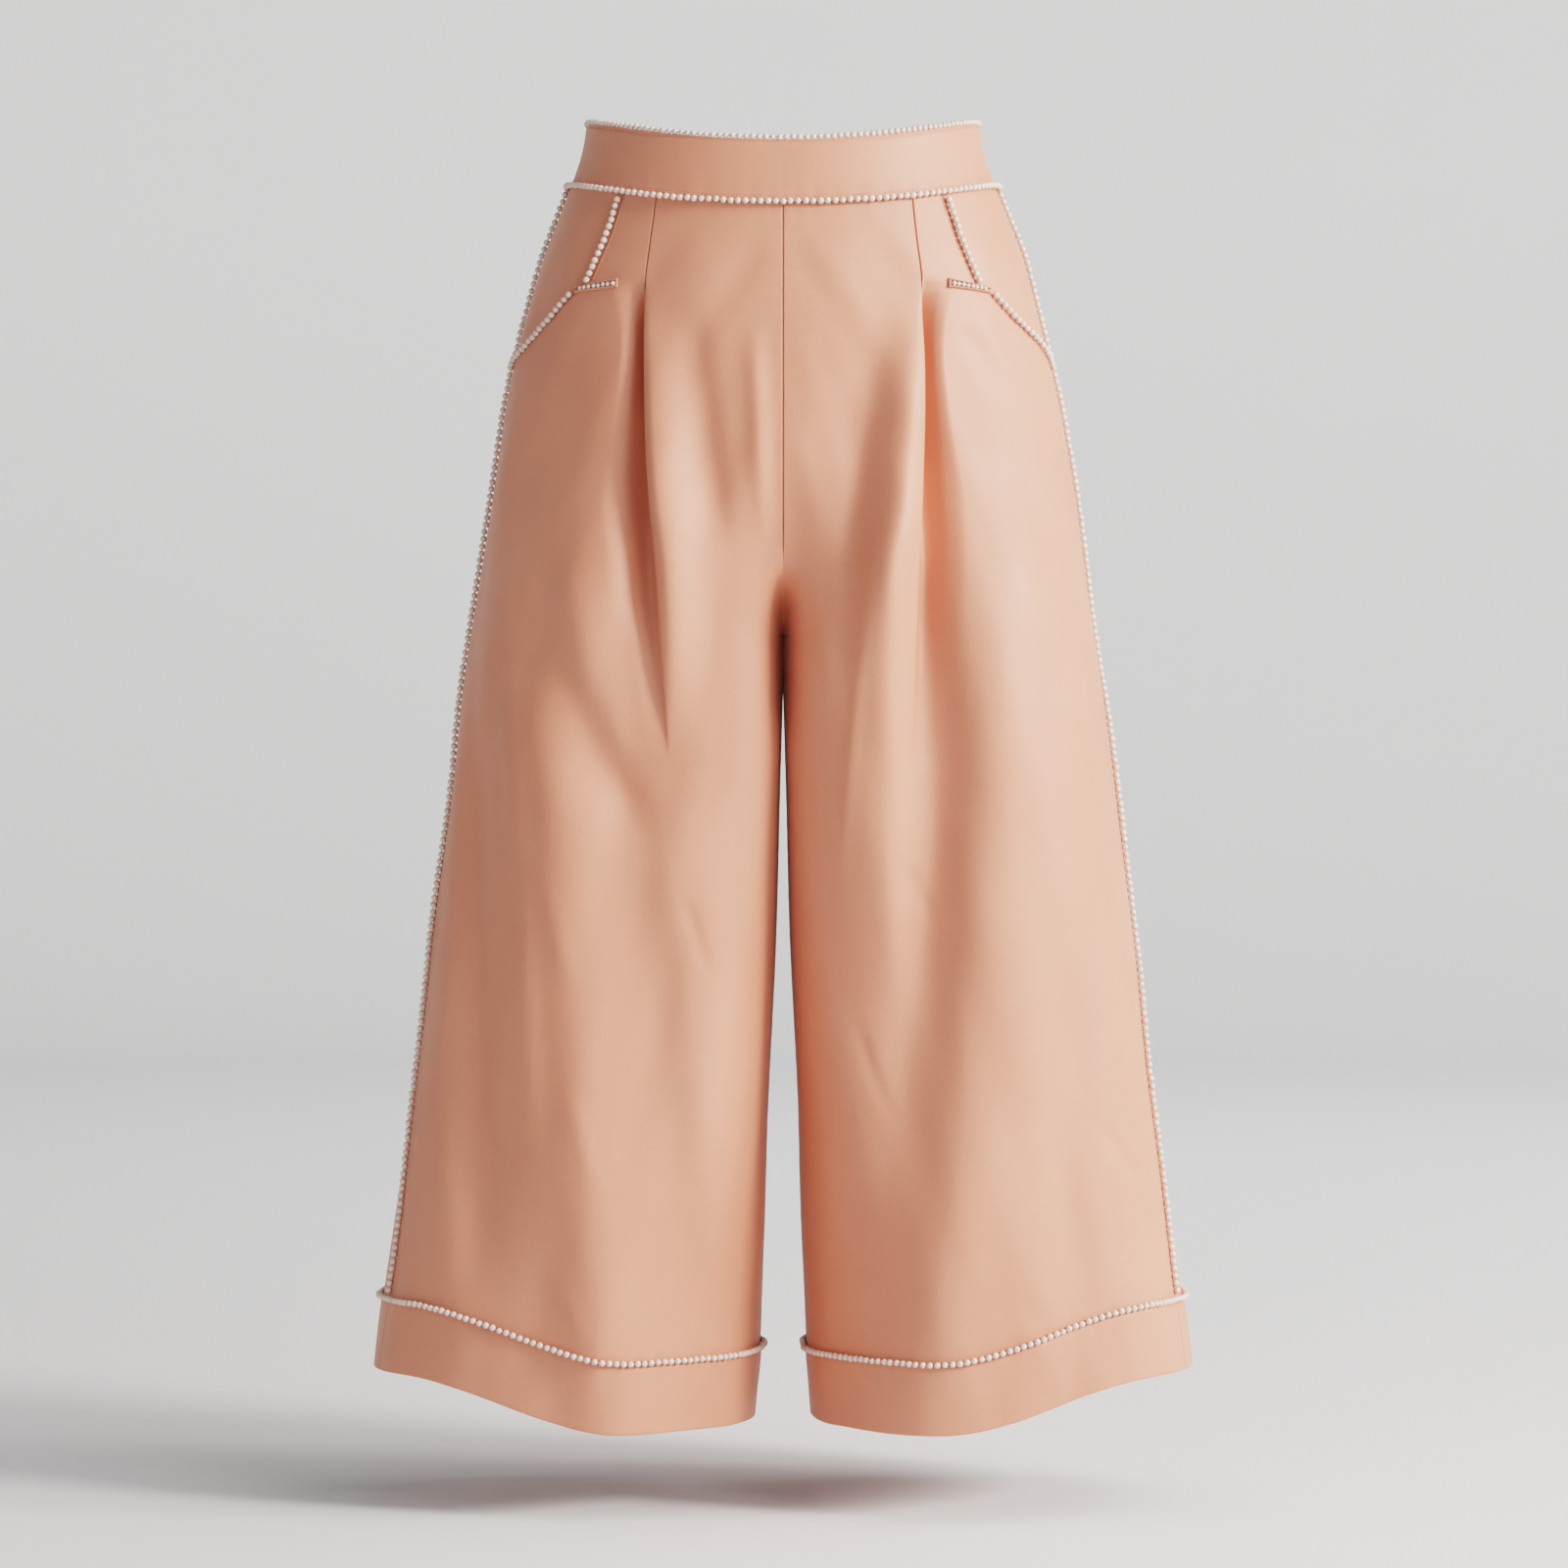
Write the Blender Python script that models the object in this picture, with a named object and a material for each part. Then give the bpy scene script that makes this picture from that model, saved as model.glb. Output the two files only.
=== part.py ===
"""Culottes: wide cropped trousers with a shaped waistband, front pleats, slant pockets and beaded seams.

The cloth keeps the hollow form that it has when worn, open at the waist and at both hems. The front faces
-Y and the wearer's left is +X. The origin is the middle of the waist seam's ring, where the wearer holds
the garment up. A drop is a depth below that level, and a lift is a distance out from the bare form.
"""

import math
from collections import namedtuple

import bpy
import numpy as np
from mathutils import Matrix

# Driving dimensions, in metres
WALL = 0.0012  # one layer of cloth with its seam turnings pressed flat
BAND_WALL = 0.0020  # the doubled cloth of the waistband and hem bands
GAP = 0.0003  # between pieces that are sewn edge to edge
BAND_TOP = -0.0397  # drop of the waistband's top edge at the sides
WAIST_DIP = 0.0200  # how much lower the waistline runs at centre front
WAIST_DIP_ENDS = 0.12
SPLIT_STARTS = 0.17  # drop at which the form begins to part into two legs
CROTCH = 0.2919
HEM_SEAM = 0.7035  # drop of the hem seam at the outer side
HEM_BAND = 0.0445  # height of the hem band
HEM_FALL = 0.0320  # how much lower the hem hangs at the front and inside
HEM_FALL_STARTS = 0.40
HEM_FALL_SIDE = -0.85  # how far inward a place lies, from -1 at the outer side, where the fall begins
HEM_FALL_SPAN = 1.2  # and how much further inward it is whole
SIDE_SEAM_TURN = math.radians(20)  # how far forward of the widest line the side seam ends
SIDE_SEAM_TURN_STARTS = 0.20
BEAD = 0.0044  # diameter of a sewn bead
SMALL_BEAD = 0.0038  # bead of the top edge and the pocket welt
FACING_DEPTH = 0.0010  # how far the pocket facing lies behind the front panel

# The bare form of the right half: half widths from the middle, depths of its front and back, and how
# square its outer and inner rounds are (2 is an ellipse)
Section = namedtuple("Section", "drop half_width half_gap front back outer_square inner_square")
SECTIONS = (
    Section(-0.042, 0.1253, 0.0000, 0.0922, 0.0862, 2.10, 2.1),
    Section(-0.031, 0.1266, 0.0000, 0.0938, 0.0878, 2.10, 2.1),
    Section(-0.016, 0.1300, 0.0000, 0.0962, 0.0902, 2.10, 2.1),
    Section(0.000, 0.1356, 0.0000, 0.0990, 0.0932, 2.12, 2.1),
    Section(0.017, 0.1422, 0.0000, 0.1014, 0.0975, 2.15, 2.1),
    Section(0.042, 0.1519, 0.0000, 0.1045, 0.1042, 2.18, 2.2),
    Section(0.067, 0.1591, 0.0000, 0.1070, 0.1105, 2.20, 2.3),
    Section(0.092, 0.1656, 0.0000, 0.1092, 0.1146, 2.20, 2.5),
    Section(0.129, 0.1744, 0.0000, 0.1115, 0.1184, 2.20, 2.8),
    Section(0.179, 0.1828, 0.0000, 0.1130, 0.1202, 2.20, 3.4),
    Section(0.229, 0.1900, 0.0000, 0.1135, 0.1198, 2.20, 4.0),
    Section(0.279, 0.1969, 0.0004, 0.1130, 0.1186, 2.20, 4.2),
    Section(0.329, 0.2047, 0.0006, 0.1120, 0.1172, 2.20, 3.9),
    Section(0.379, 0.2109, 0.0018, 0.1105, 0.1156, 2.20, 3.5),
    Section(0.479, 0.2234, 0.0044, 0.1075, 0.1125, 2.20, 3.1),
    Section(0.579, 0.2363, 0.0094, 0.1045, 0.1090, 2.20, 2.8),
    Section(0.679, 0.2500, 0.0124, 0.1015, 0.1065, 2.20, 2.5),
    Section(0.704, 0.2541, 0.0136, 0.1008, 0.1060, 2.20, 2.5),
    Section(0.749, 0.2600, 0.0160, 0.0998, 0.1052, 2.20, 2.5),
    Section(0.785, 0.2640, 0.0195, 0.0990, 0.1048, 2.20, 2.5),
)
SECTION_DROPS = np.array([section.drop for section in SECTIONS])

# The pocket mouth runs down from the waist seam, jogs at the welt and ends at the side seam
MouthPoint = namedtuple("MouthPoint", "drop across")
POCKET_MOUTH = (
    MouthPoint(0.0000, 0.1035),
    MouthPoint(0.0300, 0.1125),
    MouthPoint(0.0610, 0.1235),
    MouthPoint(0.0690, 0.1328),
    MouthPoint(0.0900, 0.1510),
    MouthPoint(0.1108, 0.1682),
    MouthPoint(0.1175, 0.1712),
    MouthPoint(0.1220, 0.1729),
)
MOUTH_ENDS = POCKET_MOUTH[-1].drop

# The pleat: where its folded edge hangs, and how far it stands open (1 is the whole profile below)
PleatPlace = namedtuple("PleatPlace", "drop across opening")
PLEAT_LINE = (
    PleatPlace(0.0000, 0.0810, 0.00),
    PleatPlace(0.0300, 0.0825, 0.10),
    PleatPlace(0.0640, 0.0850, 0.16),
    PleatPlace(0.0850, 0.0862, 0.60),
    PleatPlace(0.1200, 0.0875, 1.00),
    PleatPlace(0.1600, 0.0885, 1.00),
    PleatPlace(0.2000, 0.0860, 0.72),
    PleatPlace(0.2500, 0.0805, 0.36),
    PleatPlace(0.3000, 0.0770, 0.14),
    PleatPlace(0.3600, 0.0750, 0.00),
    PleatPlace(0.7800, 0.1050, 0.00),
)
# The pleat's profile in millimetres: the place of each step when closed flat, and then when open
PleatStep = namedtuple("PleatStep", "flat_across open_across open_lift")
PLEAT_PROFILE = (
    PleatStep(-26.0, -26.0, 0.0),
    PleatStep(-15.0, -15.0, 2.0),
    PleatStep(-8.0, -7.0, 4.2),
    PleatStep(-4.0, -2.0, 5.4),
    PleatStep(-1.8, 2.5, 5.6),
    PleatStep(-0.6, 5.0, 4.4),
    PleatStep(0.4, 4.6, 2.6),
    PleatStep(1.4, 1.6, 0.6),
    PleatStep(2.4, -0.3, -1.8),
    PleatStep(3.8, 1.2, -4.0),
    PleatStep(7.0, 6.0, -5.0),
    PleatStep(13.0, 12.5, -3.6),
    PleatStep(22.0, 22.0, -0.8),
    PleatStep(32.0, 32.0, 0.0),
)
PLEAT_BEFORE = -PLEAT_PROFILE[0].flat_across / 1000
PLEAT_AFTER = PLEAT_PROFILE[-1].flat_across / 1000
PLEAT_ROOM = 0.75  # the most that the profile takes of the space between the pleat and a seam

# The largest soft folds below the hips. Each runs through three places, and a trough has a height below 0
Fold = namedtuple("Fold", "drop_1 across_1 drop_2 across_2 drop_3 across_3 width height")
FRONT_FOLDS = {
    "left": (
        Fold(0.100, 0.075, 0.280, 0.068, 0.560, 0.066, 0.020, 0.0050),
        Fold(0.100, 0.052, 0.260, 0.044, 0.480, 0.034, 0.022, -0.0050),
        Fold(0.260, 0.120, 0.400, 0.118, 0.640, 0.094, 0.022, -0.0045),
        Fold(0.380, 0.168, 0.500, 0.164, 0.660, 0.152, 0.030, 0.0050),
    ),
    "right": (
        Fold(0.090, 0.072, 0.300, 0.058, 0.480, 0.030, 0.021, 0.0050),
        Fold(0.110, 0.106, 0.200, 0.116, 0.300, 0.124, 0.016, 0.0030),
        Fold(0.260, 0.136, 0.340, 0.112, 0.460, 0.078, 0.022, -0.0045),
        Fold(0.300, 0.188, 0.480, 0.190, 0.700, 0.176, 0.018, -0.0045),
        Fold(0.320, 0.142, 0.500, 0.139, 0.700, 0.132, 0.016, -0.0035),
    ),
}
BACK_FOLDS = {
    "left": (
        Fold(0.200, 0.100, 0.360, 0.092, 0.600, 0.078, 0.022, 0.0050),
        Fold(0.220, 0.060, 0.330, 0.050, 0.480, 0.044, 0.020, -0.0050),
        Fold(0.340, 0.150, 0.500, 0.158, 0.690, 0.170, 0.024, -0.0050),
    ),
    "right": (
        Fold(0.190, 0.094, 0.340, 0.096, 0.560, 0.108, 0.021, 0.0050),
        Fold(0.240, 0.054, 0.340, 0.046, 0.460, 0.042, 0.020, -0.0050),
        Fold(0.320, 0.140, 0.480, 0.146, 0.680, 0.150, 0.025, -0.0050),
    ),
}
FOLD_FREE_WAIST = 0.05  # folds grow from nothing over this drop below the waist seam
FOLD_FREE_EDGE = 0.022  # and from nothing over this distance from the centre and inside-leg seams
FOLD_ENDS = 0.35  # share of a fold's length over which it fades at each end

# How finely the cloth is divided
POCKET_DROPS = (0.030, 0.061, 0.069, 0.090, 0.1108, 0.1175, 0.1205)
RISE_DROPS = (0.122, 0.150, 0.180, 0.210, 0.238, 0.260, 0.275, 0.284, 0.287)
LEG_DROPS = (0.289, 0.315, 0.360, 0.420, 0.485, 0.550, 0.610, 0.660)
CROTCH_CORNER = 0.288  # where the centre seams have run under and become the inside-leg seams
FRONT_CROTCH_RUN = 0.039  # how far they run under, from the front and from the back
BACK_CROTCH_RUN = 0.042
SEAM_TURNING = 0.0005
FORM_STEPS = 90  # points on each quarter of the form, from which the pieces' own points are read
DROP_STEP = 0.0005  # up and down from a ring, to find which way down the cloth runs there

SIDES = {"left": 1, "right": -1}


def clear_scene():
    for thing in list(bpy.data.objects):
        bpy.data.objects.remove(thing)


def finish(name, colour, roughness, metallic=0.0, sheen=0.0):
    material = bpy.data.materials.new(name)
    material.use_nodes = True
    surface = material.node_tree.nodes["Principled BSDF"]
    surface.inputs["Base Color"].default_value = (*colour, 1.0)
    surface.inputs["Roughness"].default_value = roughness
    surface.inputs["Metallic"].default_value = metallic
    surface.inputs["Sheen Weight"].default_value = sheen
    material.diffuse_color = (*colour, 1.0)
    return material


def ease(value):
    """0 below 0, 1 above 1, and a smooth step between."""
    value = np.clip(value, 0.0, 1.0)
    return value * value * (3.0 - 2.0 * value)


# ---- The form ----


def size_at(field, drop):
    """One size of the form at any drop, on a smooth curve through the table of sections."""
    sizes = np.array([getattr(section, field) for section in SECTIONS])
    slopes = np.gradient(sizes, SECTION_DROPS)
    drop = np.clip(drop, SECTION_DROPS[0], SECTION_DROPS[-1])
    low = np.clip(np.searchsorted(SECTION_DROPS, drop) - 1, 0, len(SECTIONS) - 2)
    span = SECTION_DROPS[low + 1] - SECTION_DROPS[low]
    t = (drop - SECTION_DROPS[low]) / span
    start = (1 + 2 * t) * (1 - t) ** 2 * sizes[low] + t * (1 - t) ** 2 * span * slopes[low]
    end = t * t * (3 - 2 * t) * sizes[low + 1] + t * t * (t - 1) * span * slopes[low + 1]
    return start + end


def leg_middle(drop):
    """The middle of one leg's round and its half width. Above the crotch it reaches past centre front."""
    half_width = size_at("half_width", drop)
    half_gap = size_at("half_gap", drop)
    share = ease((drop - SPLIT_STARTS) / (CROTCH - SPLIT_STARTS))
    radius = (half_width - half_gap) / (1 + share)
    return half_width - radius, radius


def round_point(turn, drop):
    """A point of the bare form: turn is 0 at the inside leg, pi/2 at the front and pi at the outer side."""
    square = np.where(np.cos(turn) > 0, size_at("inner_square", drop), size_at("outer_square", drop))
    inward = np.sign(np.cos(turn)) * np.abs(np.cos(turn)) ** (2 / square)
    depth = np.abs(np.sin(turn)) ** (2 / square)
    front = np.sin(turn) > 0
    dip = WAIST_DIP * depth**2 * front * (1 - ease(drop / WAIST_DIP_ENDS))
    fall_share = ease((drop - HEM_FALL_STARTS) / (HEM_SEAM - HEM_FALL_STARTS))
    fall = HEM_FALL * ease((inward - HEM_FALL_SIDE) / HEM_FALL_SPAN) * fall_share
    true_drop = drop + dip + fall
    middle, radius = leg_middle(true_drop)
    reach = np.where(front, -size_at("front", true_drop), size_at("back", true_drop))
    return np.stack([middle - radius * inward, reach * depth, -true_drop], axis=-1)


def turn_of(inward, drop):
    """The turn, between 0 and pi, at which a round has come this share of its half width inward."""
    square = size_at("inner_square", drop) if inward > 0 else size_at("outer_square", drop)
    return math.acos(math.copysign(abs(inward) ** (square / 2), inward))


def bare_ring(drop, half_seam):
    """The form of the right half at one drop, from centre front round the side seam to centre back.

    Its points are evenly spaced from seam to seam. With each goes the way that the form runs down there.
    """
    middle, radius = leg_middle(drop)
    first = turn_of(min((middle - half_seam) / radius, 1.0), drop)
    share = (drop - SIDE_SEAM_TURN_STARTS) / (HEM_SEAM - SIDE_SEAM_TURN_STARTS)
    side = math.pi - SIDE_SEAM_TURN * min(max(share, 0.0), 1.0)
    steps = ease(np.linspace(0.0, 1.0, 4 * FORM_STEPS))
    halves = []
    for start, end in ((first, side), (side, 2 * math.pi - first)):
        turns = start + (end - start) * steps
        points = round_point(turns, drop)
        down = round_point(turns, drop + DROP_STEP) - round_point(turns, drop - DROP_STEP)
        lengths = np.linalg.norm(np.diff(points, axis=0), axis=1)
        along = np.concatenate([[0.0], np.cumsum(lengths)])
        places = np.linspace(0.0, along[-1], FORM_STEPS + 1)
        both = np.concatenate([points, down], axis=1)
        halves.append(np.stack([np.interp(places, along, column) for column in both.T], axis=1))
    front, back = halves
    ring = np.concatenate([front, back[1:]])
    return ring[:, :3], ring[:, 3:]


class Ring:
    """The form at one drop, with its distance round from centre front and its outward direction."""

    def __init__(self, side, drop, half_seam=GAP / 2):
        self.side = side
        self.drop = drop
        self.points, self.down = bare_ring(drop, half_seam)
        self.round = np.gradient(self.points, axis=0)
        steps = np.linalg.norm(np.diff(self.points, axis=0), axis=1)
        self.along = np.concatenate([[0.0], np.cumsum(steps)])
        self.side_seam = self.along[FORM_STEPS]
        self.back_seam = self.along[-1]

    def read(self, values, along):
        return np.stack([np.interp(along, self.along, values[:, axis]) for axis in range(3)], axis=-1)

    def outward(self, along):
        out = np.cross(self.read(self.down, along), self.read(self.round, along))
        return out / np.linalg.norm(out, axis=-1, keepdims=True)

    def front_place(self, across):
        """The distance round at which the front lies this far across."""
        return np.interp(across, self.points[: FORM_STEPS + 1, 0], self.along[: FORM_STEPS + 1])

    def back_place(self, across):
        back = slice(None, FORM_STEPS - 1, -1)
        return np.interp(across, self.points[back, 0], self.along[back])

    def fold_lift(self, along):
        """How far the soft folds lift the cloth, or lower it, at these distances round."""
        lift = np.zeros_like(along)
        for folds, place in ((FRONT_FOLDS, self.front_place), (BACK_FOLDS, self.back_place)):
            for fold in folds[self.side]:
                drops = (fold.drop_1, fold.drop_2, fold.drop_3)
                share = (self.drop - fold.drop_1) / (fold.drop_3 - fold.drop_1)
                if not 0 < share < 1:
                    continue
                across = np.interp(self.drop, drops, (fold.across_1, fold.across_2, fold.across_3))
                strength = ease(share / FOLD_ENDS) * ease((1 - share) / FOLD_ENDS)
                distance = (along - place(across)) / fold.width
                lift += fold.height * strength * np.exp(-(distance**2))
        edge = np.minimum(along, self.back_seam - along) / FOLD_FREE_EDGE
        return lift * ease(edge) * ease(self.drop / FOLD_FREE_WAIST)

    def at(self, along, lift=0.0):
        """Points this far round and this far out from the folded cloth, on the right or the left leg."""
        along = np.asarray(along, float)
        lift = np.asarray(self.fold_lift(along) + lift)
        points = self.read(self.points, along) + self.outward(along) * lift[..., None]
        return points * (SIDES[self.side], 1, 1)


# ---- Making solids ----


def add_object(name, points, faces, material, mirrored=False, smooth=True):
    if mirrored:
        faces = [face[::-1] for face in faces]
    mesh = bpy.data.meshes.new(name)
    mesh.from_pydata([tuple(point) for point in points], [], faces)
    mesh.materials.append(material)
    mesh.validate()
    if smooth:
        mesh.shade_smooth()
        mesh.set_sharp_from_angle(angle=math.radians(40))
    thing = bpy.data.objects.new(name, mesh)
    bpy.context.scene.collection.objects.link(thing)
    return thing


def inner_face(outer, down_ends, round_ends, wall, turn):
    """The inside of a cloth wall: each outer point moved in at right angles to the cloth there."""
    down = np.gradient(outer, axis=0)
    around = np.gradient(outer, axis=1)
    down[[0, -1]] = down_ends
    around[:, [0, -1]] = round_ends
    out = np.cross(down, around) * turn
    return outer - wall * out / np.linalg.norm(out, axis=-1, keepdims=True)


def add_wall(name, outer, inner, material, mirrored):
    """A closed cloth wall between two grids of points, the rows running down and the columns round."""
    rows, columns = outer.shape[:2]
    count = rows * columns

    def number(row, column, layer):
        return layer * count + row * columns + column

    faces = []
    for row in range(rows - 1):
        for column in range(columns - 1):
            corners = ((row, column), (row + 1, column), (row + 1, column + 1), (row, column + 1))
            faces.append([number(*corner, 0) for corner in corners])
            faces.append([number(*corner, 1) for corner in reversed(corners)])
    rim = [(0, column) for column in range(columns)]
    rim += [(row, columns - 1) for row in range(1, rows)]
    rim += [(rows - 1, column) for column in range(columns - 2, -1, -1)]
    rim += [(row, 0) for row in range(rows - 2, 0, -1)]
    for here, there in zip(rim, rim[1:] + rim[:1]):
        faces.append([number(*here, 0), number(*there, 0), number(*there, 1), number(*here, 1)])
    points = np.concatenate([outer.reshape(-1, 3), inner.reshape(-1, 3)])
    return add_object(name, points, faces, material, mirrored)


def add_panel(name, side, rings, places, lifts, wall, material):
    """A cloth panel from its rings: the distance round and the lift of each column, row by row."""
    flip = (SIDES[side], 1, 1)
    outer = np.array([ring.at(*row) for ring, *row in zip(rings, places, lifts)])
    down_ends = [rings[row].read(rings[row].down, places[row]) * flip for row in (0, -1)]
    ends = [ring.read(ring.round, np.asarray(row)[[0, -1]]) * flip for ring, row in zip(rings, places)]
    inner = inner_face(outer, down_ends, ends, wall, SIDES[side])
    return add_wall(name, outer, inner, material, side == "right")


def add_strand(name, path, diameter, material, closed=False):
    """A strand of beads as one plain round cord of the beads' diameter."""
    curve = bpy.data.curves.new(name, "CURVE")
    curve.dimensions = "3D"
    curve.bevel_depth = diameter / 2
    curve.bevel_resolution = 1
    curve.use_fill_caps = not closed
    spline = curve.splines.new("POLY")
    spline.points.add(len(path) - 1)
    for point, place in zip(spline.points, path):
        point.co = (*place, 1.0)
    spline.use_cyclic_u = closed
    curve.materials.append(material)
    thing = bpy.data.objects.new(name, curve)
    bpy.context.scene.collection.objects.link(thing)
    return thing


def spread(start, end, count):
    return np.linspace(start, end, count)


# ---- Front panels, with their pleats ----


def mouth_place(ring):
    """How far round the pocket mouth lies, or the side seam below the mouth."""
    if ring.drop >= MOUTH_ENDS:
        return ring.side_seam
    across = np.interp(ring.drop, [p.drop for p in POCKET_MOUTH], [p.across for p in POCKET_MOUTH])
    return ring.front_place(across)


def crotch_columns(ring, run):
    """Distances in from a seam of the columns that, below the crotch, cross from it to the inside leg."""
    if ring.drop < CROTCH_CORNER:
        run = 3 * SEAM_TURNING
    return np.linspace(0.0, run, 4)


def front_columns(ring, inner_columns=3, outer_columns=4):
    """Where one row's points lie, and how far the pleat lifts them."""
    drops = [place.drop for place in PLEAT_LINE]
    opening = np.interp(ring.drop, drops, [place.opening for place in PLEAT_LINE])
    across = np.interp(ring.drop, drops, [place.across for place in PLEAT_LINE])
    pleat = ring.front_place(across)
    first = GAP / 2 if ring.drop > CROTCH_CORNER else 0.0
    crotch = first + crotch_columns(ring, FRONT_CROTCH_RUN)
    last = mouth_place(ring) - GAP / 2
    before = min(1.0, PLEAT_ROOM * (pleat - first) / PLEAT_BEFORE)
    after = min(1.0, PLEAT_ROOM * (last - pleat) / PLEAT_AFTER)
    places = []
    lifts = []
    for step in PLEAT_PROFILE:
        squeeze = before if step.flat_across < 0 else after
        flat = step.flat_across * squeeze
        places.append(pleat + (flat + (step.open_across - flat) * opening) / 1000)
        lifts.append(step.open_lift * opening / 1000)
    inside = spread(crotch[-1], places[0], inner_columns + 1)[:-1]
    outside = spread(places[-1], last, outer_columns + 1)[1:]
    along = np.concatenate([crotch[:-1], inside, places, outside])
    plain = np.zeros(len(crotch) - 1 + inner_columns)
    return along, np.concatenate([plain, lifts, np.zeros(outer_columns)])


def panel_rings(side):
    drops = (GAP / 2, *POCKET_DROPS, *RISE_DROPS, *LEG_DROPS, HEM_SEAM - GAP / 2)
    return [Ring(side, drop) for drop in drops]


def add_front_panels(cloth):
    for side in SIDES:
        rings = panel_rings(side)
        places, lifts = zip(*[front_columns(ring) for ring in rings])
        add_panel(f"front_{side}", side, rings, places, lifts, WALL, cloth)


# ---- Back panels ----


def back_columns(ring, columns=12):
    last = ring.back_seam - (GAP / 2 if ring.drop > CROTCH_CORNER else 0.0)
    crotch = last - crotch_columns(ring, BACK_CROTCH_RUN)
    return np.concatenate([spread(ring.side_seam + GAP / 2, crotch[-1], columns), crotch[-2::-1]])


def add_back_panels(cloth):
    for side in SIDES:
        rings = panel_rings(side)
        places = [back_columns(ring) for ring in rings]
        lifts = [np.zeros_like(row) for row in places]
        add_panel(f"back_{side}", side, rings, places, lifts, WALL, cloth)


# ---- Pockets: facing behind the mouth, welt across its corner ----


def facing_columns(ring, columns=6):
    return spread(mouth_place(ring) + GAP, ring.side_seam - GAP / 2, columns)


def add_pocket_facings(cloth):
    for side in SIDES:
        rings = [Ring(side, drop) for drop in (GAP / 2, *POCKET_DROPS)]
        places = [facing_columns(ring) for ring in rings]
        lifts = [-FACING_DEPTH * (1 - ease(np.linspace(0.0, 1.0, len(row)))) for row in places]
        add_panel(f"pocket_facing_{side}", side, rings, places, lifts, WALL, cloth)


WELT_HEIGHT = 0.0050
WELT_DROP = 0.0695  # of its outer end's middle
WELT_RISE = 0.0060  # how much higher its inner end lies
WELT_ACROSS = (0.1300, 0.1050)  # its outer and inner ends, on the front panel
WELT_WALL = 0.0010


def welt_line(side, below, lift, count=6):
    """Points along the welt, this far below its middle, from the pocket mouth in over the front panel."""
    points = []
    for share in np.linspace(0.0, 1.0, count):
        ring = Ring(side, WELT_DROP - WELT_RISE * share + below)
        across = WELT_ACROSS[0] + (WELT_ACROSS[1] - WELT_ACROSS[0]) * share
        points.append(ring.at(ring.front_place(across), lift))
    return np.array(points)


def add_pocket_welts(cloth):
    edges = (-WELT_HEIGHT / 2, WELT_HEIGHT / 2)
    for side in SIDES:
        outer = np.array([welt_line(side, edge, GAP + WELT_WALL) for edge in edges])
        inner = np.array([welt_line(side, edge, GAP) for edge in edges])
        add_wall(f"pocket_welt_{side}", outer, inner, cloth, side == "left")


# ---- Waistband ----


def band_rings(side, half_seam=GAP / 2):
    drops = (BAND_TOP, -0.028, -0.014, -GAP / 2)
    return [Ring(side, drop, half_seam) for drop in drops]


def both_sides(left, right):
    """One grid from a left half and its mirrored right half, whose first columns are the same line."""
    return np.concatenate([right[:, :0:-1], left], axis=1)


def add_waistband(cloth, columns=12):
    halves = {}
    for side in SIDES:
        rings = band_rings(side, half_seam=0.0)
        outer = np.array([r.at(spread(0.0, r.side_seam - GAP / 2, columns)) for r in rings])
        inner = np.array([r.at(spread(0.0, r.side_seam - GAP / 2, columns), -BAND_WALL) for r in rings])
        halves[side] = (outer, inner)
    outer, inner = (both_sides(halves["left"][layer], halves["right"][layer]) for layer in (0, 1))
    add_wall("waistband_front", outer, inner, cloth, mirrored=False)
    for side in SIDES:
        rings = band_rings(side)
        places = [spread(r.side_seam + GAP / 2, r.back_seam, columns) for r in rings]
        outer = np.array([ring.at(row) for ring, row in zip(rings, places)])
        inner = np.array([ring.at(row, -BAND_WALL) for ring, row in zip(rings, places)])
        add_wall(f"waistband_back_{side}", outer, inner, cloth, side == "right")


# ---- Hem bands ----


def add_hem_bands(cloth):
    """The bands' points lie under the panels' own, so that the two edges run side by side."""
    drops = (HEM_SEAM + GAP / 2, HEM_SEAM + HEM_BAND / 2, HEM_SEAM + HEM_BAND)
    for side in SIDES:
        rings = [Ring(side, drop) for drop in drops]
        pieces = {
            "front": [front_columns(ring)[0] for ring in rings],
            "back": [back_columns(ring) for ring in rings],
        }
        for name, places in pieces.items():
            outer = np.array([ring.at(row) for ring, row in zip(rings, places)])
            inner = np.array([ring.at(row, -BAND_WALL) for ring, row in zip(rings, places)])
            add_wall(f"hem_{name}_{side}", outer, inner, cloth, side == "right")


# ---- Bead strands ----

BACK_OPENING = 0.0030  # half the space that the strands leave at the zip
STRAND_GAP = 0.0005
STRAND_STEP = 0.0060  # the least distance between two of a strand's points
BEAD_LIFT = STRAND_GAP + BEAD / 2
SMALL_BEAD_LIFT = STRAND_GAP + SMALL_BEAD / 2
TOP_STRAND_LEAN = 0.0004  # how far the top edge's beads lean out from the middle of the band's wall
MOUTH_STRAND_SINK = 0.0006  # how far the strands along the pocket mouth sink towards the facing
CLEAR_OF_STRAND = BEAD + GAP
MOUTH_STRANDS = {"upper": (CLEAR_OF_STRAND, 0.030, 0.060), "lower": (0.0745, 0.090, 0.1075)}


def seam_places(ring):
    """Where the panels' points lie along this ring, so that a strand bends where the cloth does."""
    facing = facing_columns(ring) if ring.drop < MOUTH_ENDS else []
    kept = [0.0]
    for place in np.sort(np.concatenate([front_columns(ring)[0], facing, back_columns(ring)])):
        if place - kept[-1] > STRAND_STEP:
            kept.append(place)
    return np.array(kept)


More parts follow.
